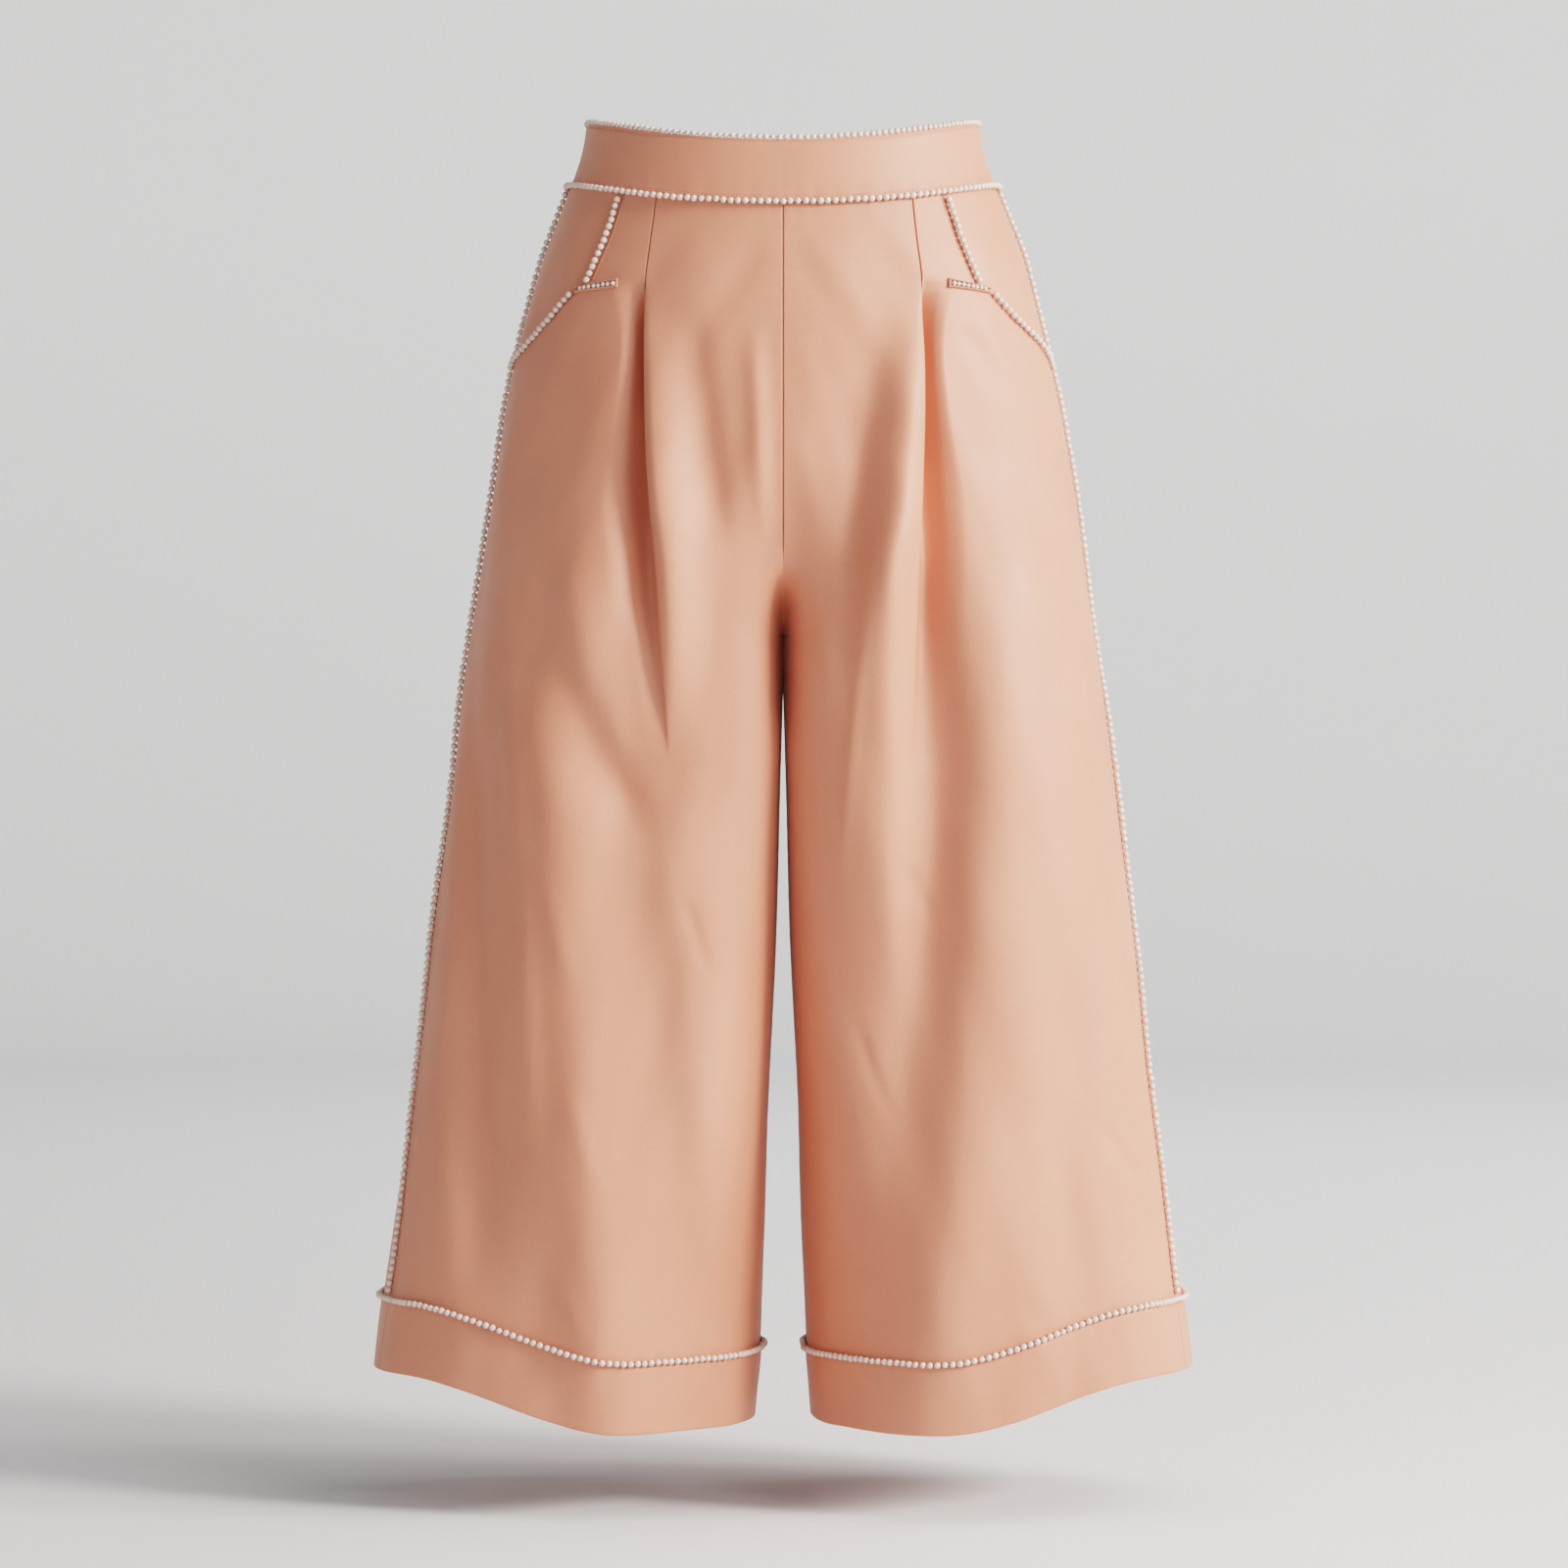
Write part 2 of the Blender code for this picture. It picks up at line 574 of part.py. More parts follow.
def strand_round_waist(drop, lift):
    """From the zip's left edge round the front to its right edge."""
    path = []
    for side in SIDES:
        ring = Ring(side, drop, half_seam=0.0)
        places = seam_places(ring)
        places = places[places < ring.back_seam - BACK_OPENING]
        path.append(ring.at([*places, ring.back_seam - BACK_OPENING], lift))
    left, right = path
    return np.concatenate([left[:0:-1], right])


def strand_down(side, drops, place, lift):
    path = []
    for drop in drops:
        ring = Ring(side, drop)
        path.append(ring.at(place(ring), lift))
    return np.array(path)


def add_bead_strands(pearl):
    top = strand_round_waist(BAND_TOP - SMALL_BEAD_LIFT, TOP_STRAND_LEAN - BAND_WALL / 2)
    add_strand("beads_waist_top", top, SMALL_BEAD, pearl)
    add_strand("beads_waist_seam", strand_round_waist(0.0, BEAD_LIFT), BEAD, pearl)
    panel_drops = (*POCKET_DROPS, *RISE_DROPS, *LEG_DROPS)
    for side in SIDES:
        down = (CLEAR_OF_STRAND, *panel_drops, HEM_SEAM - CLEAR_OF_STRAND)
        path = strand_down(side, down, lambda ring: ring.side_seam, BEAD_LIFT)
        add_strand(f"beads_side_{side}", path, BEAD, pearl)
        hem = Ring(side, HEM_SEAM)
        add_strand(f"beads_hem_{side}", hem.at(seam_places(hem), BEAD_LIFT), BEAD, pearl, closed=True)
        mouth_lift = BEAD_LIFT - MOUTH_STRAND_SINK
        for name, drops in MOUTH_STRANDS.items():
            path = strand_down(side, drops, lambda ring: mouth_place(ring) + BEAD / 2, mouth_lift)
            add_strand(f"beads_pocket_{name}_{side}", path, BEAD, pearl)
        path = welt_line(side, 0.0, GAP + WELT_WALL + SMALL_BEAD_LIFT)
        add_strand(f"beads_welt_{side}", path, SMALL_BEAD, pearl)


# ---- Zip at the centre back ----

TAPE_DROPS = (-0.036, -0.018, 0.0, 0.03, 0.06, 0.09, 0.118)  # of its rows, from its upper end down
ZIP_TAPE_HALF = 0.0110
ZIP_TAPE_WALL = 0.0008
SLIDER_DROP = -0.0290
SLIDER_WIDTH = 0.0056
SLIDER_LENGTH = 0.0090
SLIDER_PLATE = 0.0014
BRIDGE_WIDTH = 0.0016
BRIDGE_RADIUS = 0.0025
BRIDGE_BORE = 0.0013
PIVOT_HEIGHT = 0.0016  # of the pull's hinge line over the slider's plate
PULL_WIDTH = 0.0064
PULL_LENGTH = 0.0200
PULL_THICKNESS = 0.0011
PULL_BAR = 0.0011  # height of the bar over the window
PULL_WINDOW = (0.0026, 0.0026)  # the opening that takes the bridge: across, and down from the bar
PULL_TOP = 0.72  # the top edge's width, as a share of the pull's
PULL_END_STEPS = 10  # on its round lower end
JOIN_DEPTH = 0.0002  # how far the bridge's foot is sunk in the slider


def add_zip_tape(tape, columns=4):
    """One strip behind the centre back seam, 0.3 mm inside the walls that it is sewn to."""
    halves = {}
    for side in SIDES:
        rings = [Ring(side, drop, half_seam=0.0) for drop in TAPE_DROPS]
        layers = []
        for lift in (-BAND_WALL - GAP, -BAND_WALL - GAP - ZIP_TAPE_WALL):
            places = [spread(r.back_seam, r.back_seam - ZIP_TAPE_HALF, columns) for r in rings]
            layers.append(np.array([ring.at(row, lift) for ring, row in zip(rings, places)]))
        halves[side] = layers
    outer, inner = (both_sides(halves["left"][layer], halves["right"][layer]) for layer in (0, 1))
    add_wall("zip_tape", outer, inner, tape, mirrored=True)


def add_block(name, size, place, material):
    """A block standing on +Z of its place, which is the middle of its foot."""
    x, y, z = (value / 2 for value in size)
    corners = [(i, j, k) for k in (-1, 1) for j in (-1, 1) for i in (-1, 1)]
    points = [(place[0] + i * x, place[1] + j * y, place[2] + z + k * z) for i, j, k in corners]
    faces = [(0, 2, 3, 1), (4, 5, 7, 6), (0, 1, 5, 4), (1, 3, 7, 5), (3, 2, 6, 7), (2, 0, 4, 6)]
    return add_object(name, points, faces, material, smooth=False)


def add_rod(name, radius, length, height, material, sides=16):
    """A round rod along X, its axis this high over the origin."""
    turns = [2 * math.pi * i / sides for i in range(sides)]
    rim = [(radius * math.cos(turn), height + radius * math.sin(turn)) for turn in turns]
    points = [(x, y, z) for x in (-length / 2, length / 2) for y, z in rim]
    faces = [tuple(range(sides))[::-1], tuple(range(sides, 2 * sides))]
    faces += [(i, (i + 1) % sides, (i + 1) % sides + sides, i + sides) for i in range(sides)]
    return add_object(name, points, faces, material, smooth=False)


def join(thing, other, operation):
    """Adds another shape to this one, or cuts it out, and hides the other."""
    modifier = thing.modifiers.new(other.name, "BOOLEAN")
    modifier.operation = operation
    modifier.object = other
    modifier.solver = "EXACT"
    other.hide_render = True
    other.display_type = "WIRE"
    other.parent = thing.parent


def back_frame():
    """Where the slider lies: X across, Y up along the cloth, Z straight out of the centre back."""
    ring = Ring("left", SLIDER_DROP, half_seam=0.0)
    foot = ring.at(ring.back_seam, GAP)
    out = ring.outward(ring.back_seam)
    tilt = math.atan2(out[2], out[1])
    turned = Matrix.Rotation(math.pi, 4, "Z") @ Matrix.Rotation(math.pi / 2 - tilt, 4, "X")
    return Matrix.Translation(foot) @ turned


def add_zip_hardware(metal):
    frame = bpy.data.objects.new("zip_frame", None)
    bpy.context.scene.collection.objects.link(frame)
    frame.matrix_world = back_frame()
    slider = add_block("zip_slider", (SLIDER_WIDTH, SLIDER_LENGTH, SLIDER_PLATE), (0, 0, 0), metal)
    bridge = add_rod("zip_bridge_shape", BRIDGE_RADIUS, BRIDGE_WIDTH, SLIDER_PLATE + PIVOT_HEIGHT, metal)
    foot = (BRIDGE_WIDTH, 2 * BRIDGE_RADIUS, PIVOT_HEIGHT + JOIN_DEPTH)
    stand = add_block("zip_stand_shape", foot, (0, 0, SLIDER_PLATE - JOIN_DEPTH), metal)
    bore = add_rod("zip_bore_shape", BRIDGE_BORE, 2 * BRIDGE_WIDTH, SLIDER_PLATE + PIVOT_HEIGHT, metal)
    for thing in (slider, bridge, stand, bore):
        thing.parent = frame
    join(slider, stand, "UNION")
    join(slider, bridge, "UNION")
    join(slider, bore, "DIFFERENCE")

    hinge = bpy.data.objects.new("zip_hinge", None)
    bpy.context.scene.collection.objects.link(hinge)
    hinge.matrix_world = frame.matrix_world @ Matrix.Translation((0, 0, SLIDER_PLATE + PIVOT_HEIGHT))
    pull = add_pull_plate(metal)
    window_across, window_down = PULL_WINDOW
    window = add_block(
        "zip_window_shape",
        (window_across, window_down, 4 * PULL_THICKNESS),
        (0, -(PULL_BAR + window_down) / 2, -2 * PULL_THICKNESS),
        metal,
    )
    pull.parent = hinge
    window.parent = hinge
    join(pull, window, "DIFFERENCE")


def add_pull_plate(metal):
    """The pull tab: a flat plate whose top bar lies on the hinge line, with a round lower end."""
    half = PULL_WIDTH / 2
    top = PULL_BAR / 2
    low = -PULL_LENGTH + half
    arc = [math.pi + math.pi * i / PULL_END_STEPS for i in range(PULL_END_STEPS + 1)]
    outline = [(half * PULL_TOP, top), (-half * PULL_TOP, top)]
    outline += [(half * math.cos(turn), low + half * math.sin(turn)) for turn in arc]
    count = len(outline)
    points = [(x, y, z) for z in (-PULL_THICKNESS / 2, PULL_THICKNESS / 2) for x, y in outline]
    faces = [tuple(range(count))[::-1], tuple(range(count, 2 * count))]
    faces += [(i, (i + 1) % count, (i + 1) % count + count, i + count) for i in range(count)]
    return add_object("zip_pull", points, faces, metal, smooth=False)


def main():
    clear_scene()
    cloth = finish("peach_crepe", (0.66, 0.34, 0.25), 0.62, sheen=0.3)
    pearl = finish("imitation_pearl", (0.82, 0.76, 0.72), 0.22)
    tape = finish("zip_tape_cloth", (0.60, 0.31, 0.23), 0.80)
    metal = finish("lacquered_zip_metal", (0.62, 0.36, 0.28), 0.35, metallic=0.4)
    add_front_panels(cloth)
    add_back_panels(cloth)
    add_pocket_facings(cloth)
    add_pocket_welts(cloth)
    add_waistband(cloth)
    add_hem_bands(cloth)
    add_bead_strands(pearl)
    add_zip_tape(tape)
    add_zip_hardware(metal)


main()
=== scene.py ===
"""Culottes in peach crepe, trimmed with pearl beads: the looks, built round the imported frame.

Lengths are in metres, and in millimetres in the tables that in_metres reads. +Z is up, the front faces -Y and
the wearer's left is +X. The origin is the middle of the waist seam's ring. A drop is a depth below it, and a
lift is a distance out from the bare form.
"""

import math
from collections import namedtuple

import bpy
import numpy as np
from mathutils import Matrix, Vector


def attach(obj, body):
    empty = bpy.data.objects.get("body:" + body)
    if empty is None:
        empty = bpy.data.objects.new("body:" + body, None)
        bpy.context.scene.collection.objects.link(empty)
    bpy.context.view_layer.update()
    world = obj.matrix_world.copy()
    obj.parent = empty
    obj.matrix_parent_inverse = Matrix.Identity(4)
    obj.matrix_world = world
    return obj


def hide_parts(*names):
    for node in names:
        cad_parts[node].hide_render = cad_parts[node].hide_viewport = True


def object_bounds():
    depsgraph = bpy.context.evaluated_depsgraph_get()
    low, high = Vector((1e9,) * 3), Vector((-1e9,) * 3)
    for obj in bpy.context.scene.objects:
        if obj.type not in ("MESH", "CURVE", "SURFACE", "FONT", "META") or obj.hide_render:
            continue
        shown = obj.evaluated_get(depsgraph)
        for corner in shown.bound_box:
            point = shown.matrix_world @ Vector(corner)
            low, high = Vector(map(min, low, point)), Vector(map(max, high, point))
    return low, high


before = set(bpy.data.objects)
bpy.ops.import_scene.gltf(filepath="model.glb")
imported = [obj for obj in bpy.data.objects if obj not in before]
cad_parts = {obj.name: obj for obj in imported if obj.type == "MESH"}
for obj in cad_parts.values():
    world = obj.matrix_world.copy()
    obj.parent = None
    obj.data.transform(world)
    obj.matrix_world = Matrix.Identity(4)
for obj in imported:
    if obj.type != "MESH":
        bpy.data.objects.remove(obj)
cad_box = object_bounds()

# ---- Camera and studio ----
# A long lens, level with the thighs. The studio is a round floor of matt white paper that curves up into a
# wall all round. A large soft light stands to the front right, with weaker ones in front, above and behind.

CAMERA_PLACE = (0.0006, -3.1, -0.379)
CAMERA_LENS = 111.6  # mm
FILM_WIDTH = 36.0  # mm
VIEW_DEPTH = 60.0
HEM_CLEARANCE = 0.054  # between the lowest hem and the floor
STUDIO_RADIUS = 6.5
STUDIO_CURVE = 1.6  # radius of the curve between floor and wall
STUDIO_HEIGHT = 5.0
STUDIO_SIDES = 96
CURVE_STEPS = 16
AMBIENT_COLOUR = "#f2f6ff"
AMBIENT_STRENGTH = 0.08
# Each light is a disk: where it stands, where it points, its width, its power in watts and its colour
Light = namedtuple("Light", "name place aim size power colour")
LIGHTS = (
    Light("key", (3.8, -2.2, 1.5), (0, 0, -0.35), 1.3, 190, "#fffaf6"),
    Light("key_side", (4.3, -0.9, 1.3), (0, 0, -0.35), 1.3, 102, "#fffaf6"),
    Light("key_front", (2.5, -3.6, 1.5), (0, 0, -0.35), 1.5, 30, "#ffffff"),
    Light("key_high", (2.6, -2.0, 3.0), (0, 0, -0.35), 1.5, 24, "#ffffff"),
    Light("overhead", (1.1, -0.3, 3.0), (0, 0, -0.8), 2.6, 34, "#ffffff"),
    Light("wall_wash", (0.6, 2.6, 2.4), (0.3, 6.5, -0.2), 3.0, 42, "#ffffff"),
    Light("wall_right", (3.2, 2.2, 1.5), (2.5, 6.5, -0.6), 2.5, 12, "#ffffff"),
    Light("floor_right", (3.0, 1.0, 2.5), (3.0, 1.0, -1.5), 2.0, 16, "#ffffff"),
)


def linear(hex_colour):
    """A colour written as #rrggbb in sRGB, as the linear red, green, blue and alpha that nodes take."""
    shares = [int(hex_colour[place : place + 2], 16) / 255 for place in (1, 3, 5)]
    return (*[s / 12.92 if s <= 0.04045 else ((s + 0.055) / 1.055) ** 2.4 for s in shares], 1.0)


def new_material(name):
    """A node material, and the Principled shader that its surface starts from."""
    material = bpy.data.materials.new(name)
    material.use_nodes = True
    return material, material.node_tree.nodes["Principled BSDF"]


def set_inputs(node, **inputs):
    """Sets a node's inputs, by name or number. Each is a value, or the output of a node to link from."""
    for name, value in inputs.items():
        socket = node.inputs[int(name[1:]) if name[0] == "_" else name.replace("_", " ")]
        if isinstance(value, bpy.types.NodeSocket):
            node.id_data.links.new(value, socket)
        else:
            socket.default_value = value


def add_node(material, kind, **values):
    """Adds a shader node. Values named in small letters are its settings, and the others its inputs."""
    node = material.node_tree.nodes.new("ShaderNode" + kind)
    for name in [name for name in values if name.islower()]:
        setattr(node, name, values.pop(name))
    set_inputs(node, **values)
    return node


def add_object(name, data):
    placed = bpy.data.objects.new(name, data)
    bpy.context.scene.collection.objects.link(placed)
    return placed


def add_mesh(name, points, faces, materials):
    """A smooth object of these points and faces."""
    mesh = bpy.data.meshes.new(name)
    mesh.from_pydata(points, [], faces)
    for material in materials:
        mesh.materials.append(material)
    mesh.shade_smooth()
    return add_object(name, mesh)


def ring_faces(rings, sides, closed=False):
    """The faces between rings of points, each joined to the next and the last, where closed, to the first."""
    faces = []
    for row in range(rings if closed else rings - 1):
        here, below = row * sides, (row + 1) % rings * sides
        for side in range(sides):
            after = (side + 1) % sides
            faces.append([here + side, here + after, below + after, below + side])
    return faces


camera_data = bpy.data.cameras.new("camera")
camera_data.lens = CAMERA_LENS
camera_data.sensor_width = FILM_WIDTH
camera_data.clip_end = VIEW_DEPTH
camera = add_object("camera", camera_data)
camera.location = CAMERA_PLACE
camera.rotation_euler = (math.radians(90), 0.0, 0.0)
bpy.context.scene.camera = camera
bpy.context.scene.view_settings.view_transform = "Filmic"
bpy.context.scene.view_settings.look = "High Contrast"

# Matt white studio paper: rolled, uncoated, with a faint broad mottle and no shine.
PAPER_MOTTLE = 9.3  # the size of its patches

studio_paper, paper = new_material("matt_studio_paper")
paper_mottle = add_node(studio_paper, "TexNoise", Scale=2 * STUDIO_RADIUS / PAPER_MOTTLE, Detail=2.0)
paper_colour = add_node(
    studio_paper, "Mix", data_type="RGBA", Factor=paper_mottle.outputs["Fac"],
    _6=linear("#e8e8e8"), _7=linear("#ececec"),
)
set_inputs(paper, Base_Color=paper_colour.outputs[2], Roughness=0.9, Specular_IOR_Level=0.15)

floor_level = cad_box[0].z - HEM_CLEARANCE
profile = [(1.5, 0.0), (3.0, 0.0)]
for turn in np.linspace(0.0, math.pi / 2, CURVE_STEPS + 1):
    out = STUDIO_RADIUS - STUDIO_CURVE + STUDIO_CURVE * math.sin(turn)
    profile.append((out, STUDIO_CURVE * (1 - math.cos(turn))))
profile.append((STUDIO_RADIUS, STUDIO_HEIGHT))
turns = 2 * math.pi * np.arange(STUDIO_SIDES) / STUDIO_SIDES
points = [(r * math.cos(turn), r * math.sin(turn), floor_level + z) for r, z in profile for turn in turns]
faces = [list(range(STUDIO_SIDES))] + [face[::-1] for face in ring_faces(len(profile), STUDIO_SIDES)]
add_mesh("studio", points, faces, [studio_paper])

for light in LIGHTS:
    light_data = bpy.data.lights.new(light.name, "AREA")
    light_data.shape = "DISK"
    light_data.size = light.size
    light_data.energy = light.power
    light_data.color = linear(light.colour)[:3]
    lamp = add_object(light.name, light_data)
    lamp.location = light.place
    lamp.rotation_mode = "QUATERNION"
    lamp.rotation_quaternion = Vector(np.subtract(light.aim, light.place)).to_track_quat("-Z", "Y")

world = bpy.data.worlds.new("studio_air")
world.use_nodes = True
air = world.node_tree.nodes["Background"]
set_inputs(air, Color=linear(AMBIENT_COLOUR), Strength=AMBIENT_STRENGTH)
bpy.context.scene.world = world

# ---- Front panels ----
# Two panels of peach crepe. Each has one pleat, sewn shut over its first 65 mm and open below, is cut away at
# the slant pocket, and is stitched to its neighbours with turnings pressed flat.

CLOTH_WALL = 0.0009  # one layer of crepe with its seam turnings
SEAM_GAP = 0.00004  # between two pieces sewn edge to edge
SEAM_OVERLAP = -0.00003  # how far past the middle a centre seam's edges reach, so that it shows no light
PRESSED_OVERLAP = 34  # how many times as much is added where the legs turn in and press together
SEAM_ROLL = 0.0006  # how far from a seam the cloth starts to roll down into it
SEAM_DEPTH = 0.0012
ROLL_FADES = 0.228  # drop from which the centre seams overlap more and roll less
ROLL_LOST = 0.8  # the share of the roll that is lost there
ROLL_FADE_SPAN = 0.03
OVERLAP_SPAN = 0.025  # the drop over which the overlap grows
EDGE_STEPS = np.array((0.0, 0.0002, 0.0004, 0.0006, 0.0010))  # from an edge to the points nearest it
PUCKER_HEIGHT = 0.00014
PUCKER_REACH = 0.0080  # from the seam, over which the puckers die away
PUCKER_WAVES = (0.0021, 0.0043, 0.0173)  # lengths of their quick, slow and wandering waves, over 2 pi
PUCKER_WANDER = 2.2  # how far the quick ones wander, in radians
PUCKER_SLOW = 0.6  # height of the slow ones, as a share of the quick ones'
PUCKER_STARTS = 0.0015  # from the seam, where they have their full height
PUCKER_DRIFT = 0.1  # how fast they shift from one row to the next beside an upright seam
UPRIGHT_PUCKER = 0.6  # their height there, as a share
BAND_TOP = -0.0397  # drop of the waistband's top edge at the sides
WAIST_DIP = 0.0200  # how much lower the waistline runs at centre front
WAIST_DIP_ENDS = 0.12
SPLIT_STARTS = 0.17  # drop at which the form begins to part into two legs
CROTCH = 0.2919
HEM_SEAM = 0.7035  # drop of the hem seam at the outer side
HEM_BAND = 0.0445
HEM_FALL = 0.0320  # how much lower the hem hangs at the front and inside
HEM_FALL_STARTS = 0.40
HEM_FALL_SIDE = -0.85  # how far inward a place lies, from -1 at the outer side, where the fall begins
HEM_FALL_SPAN = 1.2
SIDE_SEAM_TURN = math.radians(20)  # how far forward of the widest line the side seam ends
SIDE_SEAM_TURN_STARTS = 0.20
PLEAT_SEWN = 0.064  # drop at which the pleat's stitching ends
PLEAT_FREED = 0.012  # over this drop its pull on the cloth then fades
PLEAT_STITCH_DEPTH = 0.0021
PLEAT_STITCH_WIDTH = 0.00032


def in_metres(kind, lengths, rows):
    """Rows of a table as named tuples. So many of the first columns are lengths in millimetres."""
    return [kind(*[np.array(value) / 1000 for value in row[:lengths]], *row[lengths:]) for row in rows]


# The bare form of one half: half widths from the middle, depths of its front and back, and how square its
# outer and inner rounds are (2 is an ellipse)
Section = namedtuple("Section", "drop half_width half_gap front back outer_square inner_square")
SECTIONS = in_metres(Section, 5, (
    (-42, 125.3, 0, 92.2, 86.2, 2.1, 2.1),
    (-31, 126.6, 0, 93.8, 87.8, 2.1, 2.1),
    (-16, 130, 0, 96.2, 90.2, 2.1, 2.1),
    (0, 135.6, 0, 99, 93.2, 2.12, 2.1),
    (17, 142.2, 0, 101.4, 97.5, 2.15, 2.1),
    (42, 151.9, 0, 104.5, 104.2, 2.18, 2.2),
    (67, 159.1, 0, 107, 110.5, 2.2, 2.3),
    (92, 165.6, 0, 109.2, 114.6, 2.2, 2.5),
    (129, 174.4, 0, 111.5, 118.4, 2.2, 2.8),
    (179, 182.8, 0, 113, 120.2, 2.2, 3.4),
    (229, 190, 0, 113.5, 119.8, 2.2, 4.6),
    (279, 196.9, -0.4, 113, 118.6, 2.2, 6.6),
    (307, 201.3, -0.4, 112.5, 117.9, 2.2, 7.4),
    (329, 204.7, 0.3, 112, 117.2, 2.2, 7.2),
    (379, 210.9, 1.8, 110.5, 115.6, 2.2, 6),
    (479, 223.4, 4.4, 107.5, 112.5, 2.2, 4.4),
    (579, 236.3, 9.4, 104.5, 109, 2.2, 3.4),
    (679, 250, 12.4, 101.5, 106.5, 2.2, 2.5),
    (704, 254.1, 13.6, 100.8, 106, 2.2, 2.5),
    (749, 260, 16, 99.8, 105.2, 2.2, 2.5),
    (785, 264, 19.5, 99, 104.8, 2.2, 2.5),
))

# Towards the crotch the front of the rise curves in and under beside centre front, and where the legs part it
# has a narrow deep hollow. Each is a share of the front's depth, grows from one drop and fades from another.
Hollow = namedtuple("Hollow", "depth starts grows fades fade_span width")
HOLLOWS = (
    Hollow(0.10, 0.165, 0.11, CROTCH, 0.12, 0.026),
    Hollow(0.26, 0.244, 0.034, 0.312, 0.05, 0.0062),
)

# The pocket mouth runs down from the waist seam, jogs at the welt and ends at the side seam
MouthPoint = namedtuple("MouthPoint", "drop across")
POCKET_MOUTH = in_metres(MouthPoint, 2, (
    (0, 99), (30, 108), (61, 119.2), (69, 128.3), (86.4, 143.7), (99.7, 157.4), (110.8, 167.7),
    (117.5, 171.2), (122, 172.9),
))
MOUTH_ENDS = POCKET_MOUTH[-1].drop

# The pleats: where their folded edges hang, how deep they stand open (1 is the whole profile below), and how
# far their valleys have spread
PleatPlace = namedtuple("PleatPlace", "drop across opening spread")
PLEAT_LINES = {
    "left": in_metres(PleatPlace, 2, (
        (0, 80.2, 0, 0.4),
        (33, 83.3, 0, 0.4),
        (58, 85.7, 0, 0.4),
        (70, 86.1, 0.3, 0.3),
        (85, 86.3, 0.55, 0.3),
        (105, 86.4, 0.75, 0.36),
        (150, 86.2, 0.92, 0.62),
        (200, 85, 1, 1),
        (250, 83.5, 0.7, 1.1),
        (300, 81.5, 0.32, 1.1),
        (370, 79, 0, 1.1),
        (780, 90, 0, 1.1),
    )),
    "right": in_metres(PleatPlace, 2, (
        (0, 78.8, 0, 0.4),
        (33, 82.8, 0, 0.4),
        (58, 85.6, 0, 0.4),
        (70, 85.9, 0.3, 0.3),
        (85, 86.2, 0.55, 0.32),
        (105, 86, 0.75, 0.42),
        (150, 84.2, 0.92, 0.74),
        (200, 81.5, 1, 1.1),
        (250, 78, 0.75, 1.1),
        (300, 74.5, 0.36, 1.1),
        (360, 70, 0, 1.1),
        (780, 90, 0, 1.1),
    )),
}
# The pleat's profile: the place of each step when closed flat, and its place and lift when open. The top
# layer comes out from the middle, turns under at its folded edge and leads into the valley beyond it.
PleatStep = namedtuple("PleatStep", "flat_across open_across open_lift")
PLEAT_PROFILE = in_metres(PleatStep, 3, (
    (-26, -26, 0), (-15, -15, 0.3), (-9, -9, 0.7), (-5, -5, 1), (-2.6, -2.6, 0.8), (-1.3, -1.1, 0.2),
    (-0.6, -0.3, -0.7), (-0.1, 0.1, -1.9), (0.3, 0, -3.8), (0.7, -0.9, -8), (1.3, -1.2, -13.5),
    (2.1, 0.2, -18.6), (3.4, 3.2, -20.4), (6, 7, -17.4), (10.5, 12, -11.2), (16, 17.5, -4.8),
    (24, 25, -0.6), (32, 32, 0),
))
PLEAT_ROOM = 0.75  # the most that the profile takes of the space between the pleat and a seam
SPREAD_OPENING = 0.2  # the opening at which a valley has its full spread

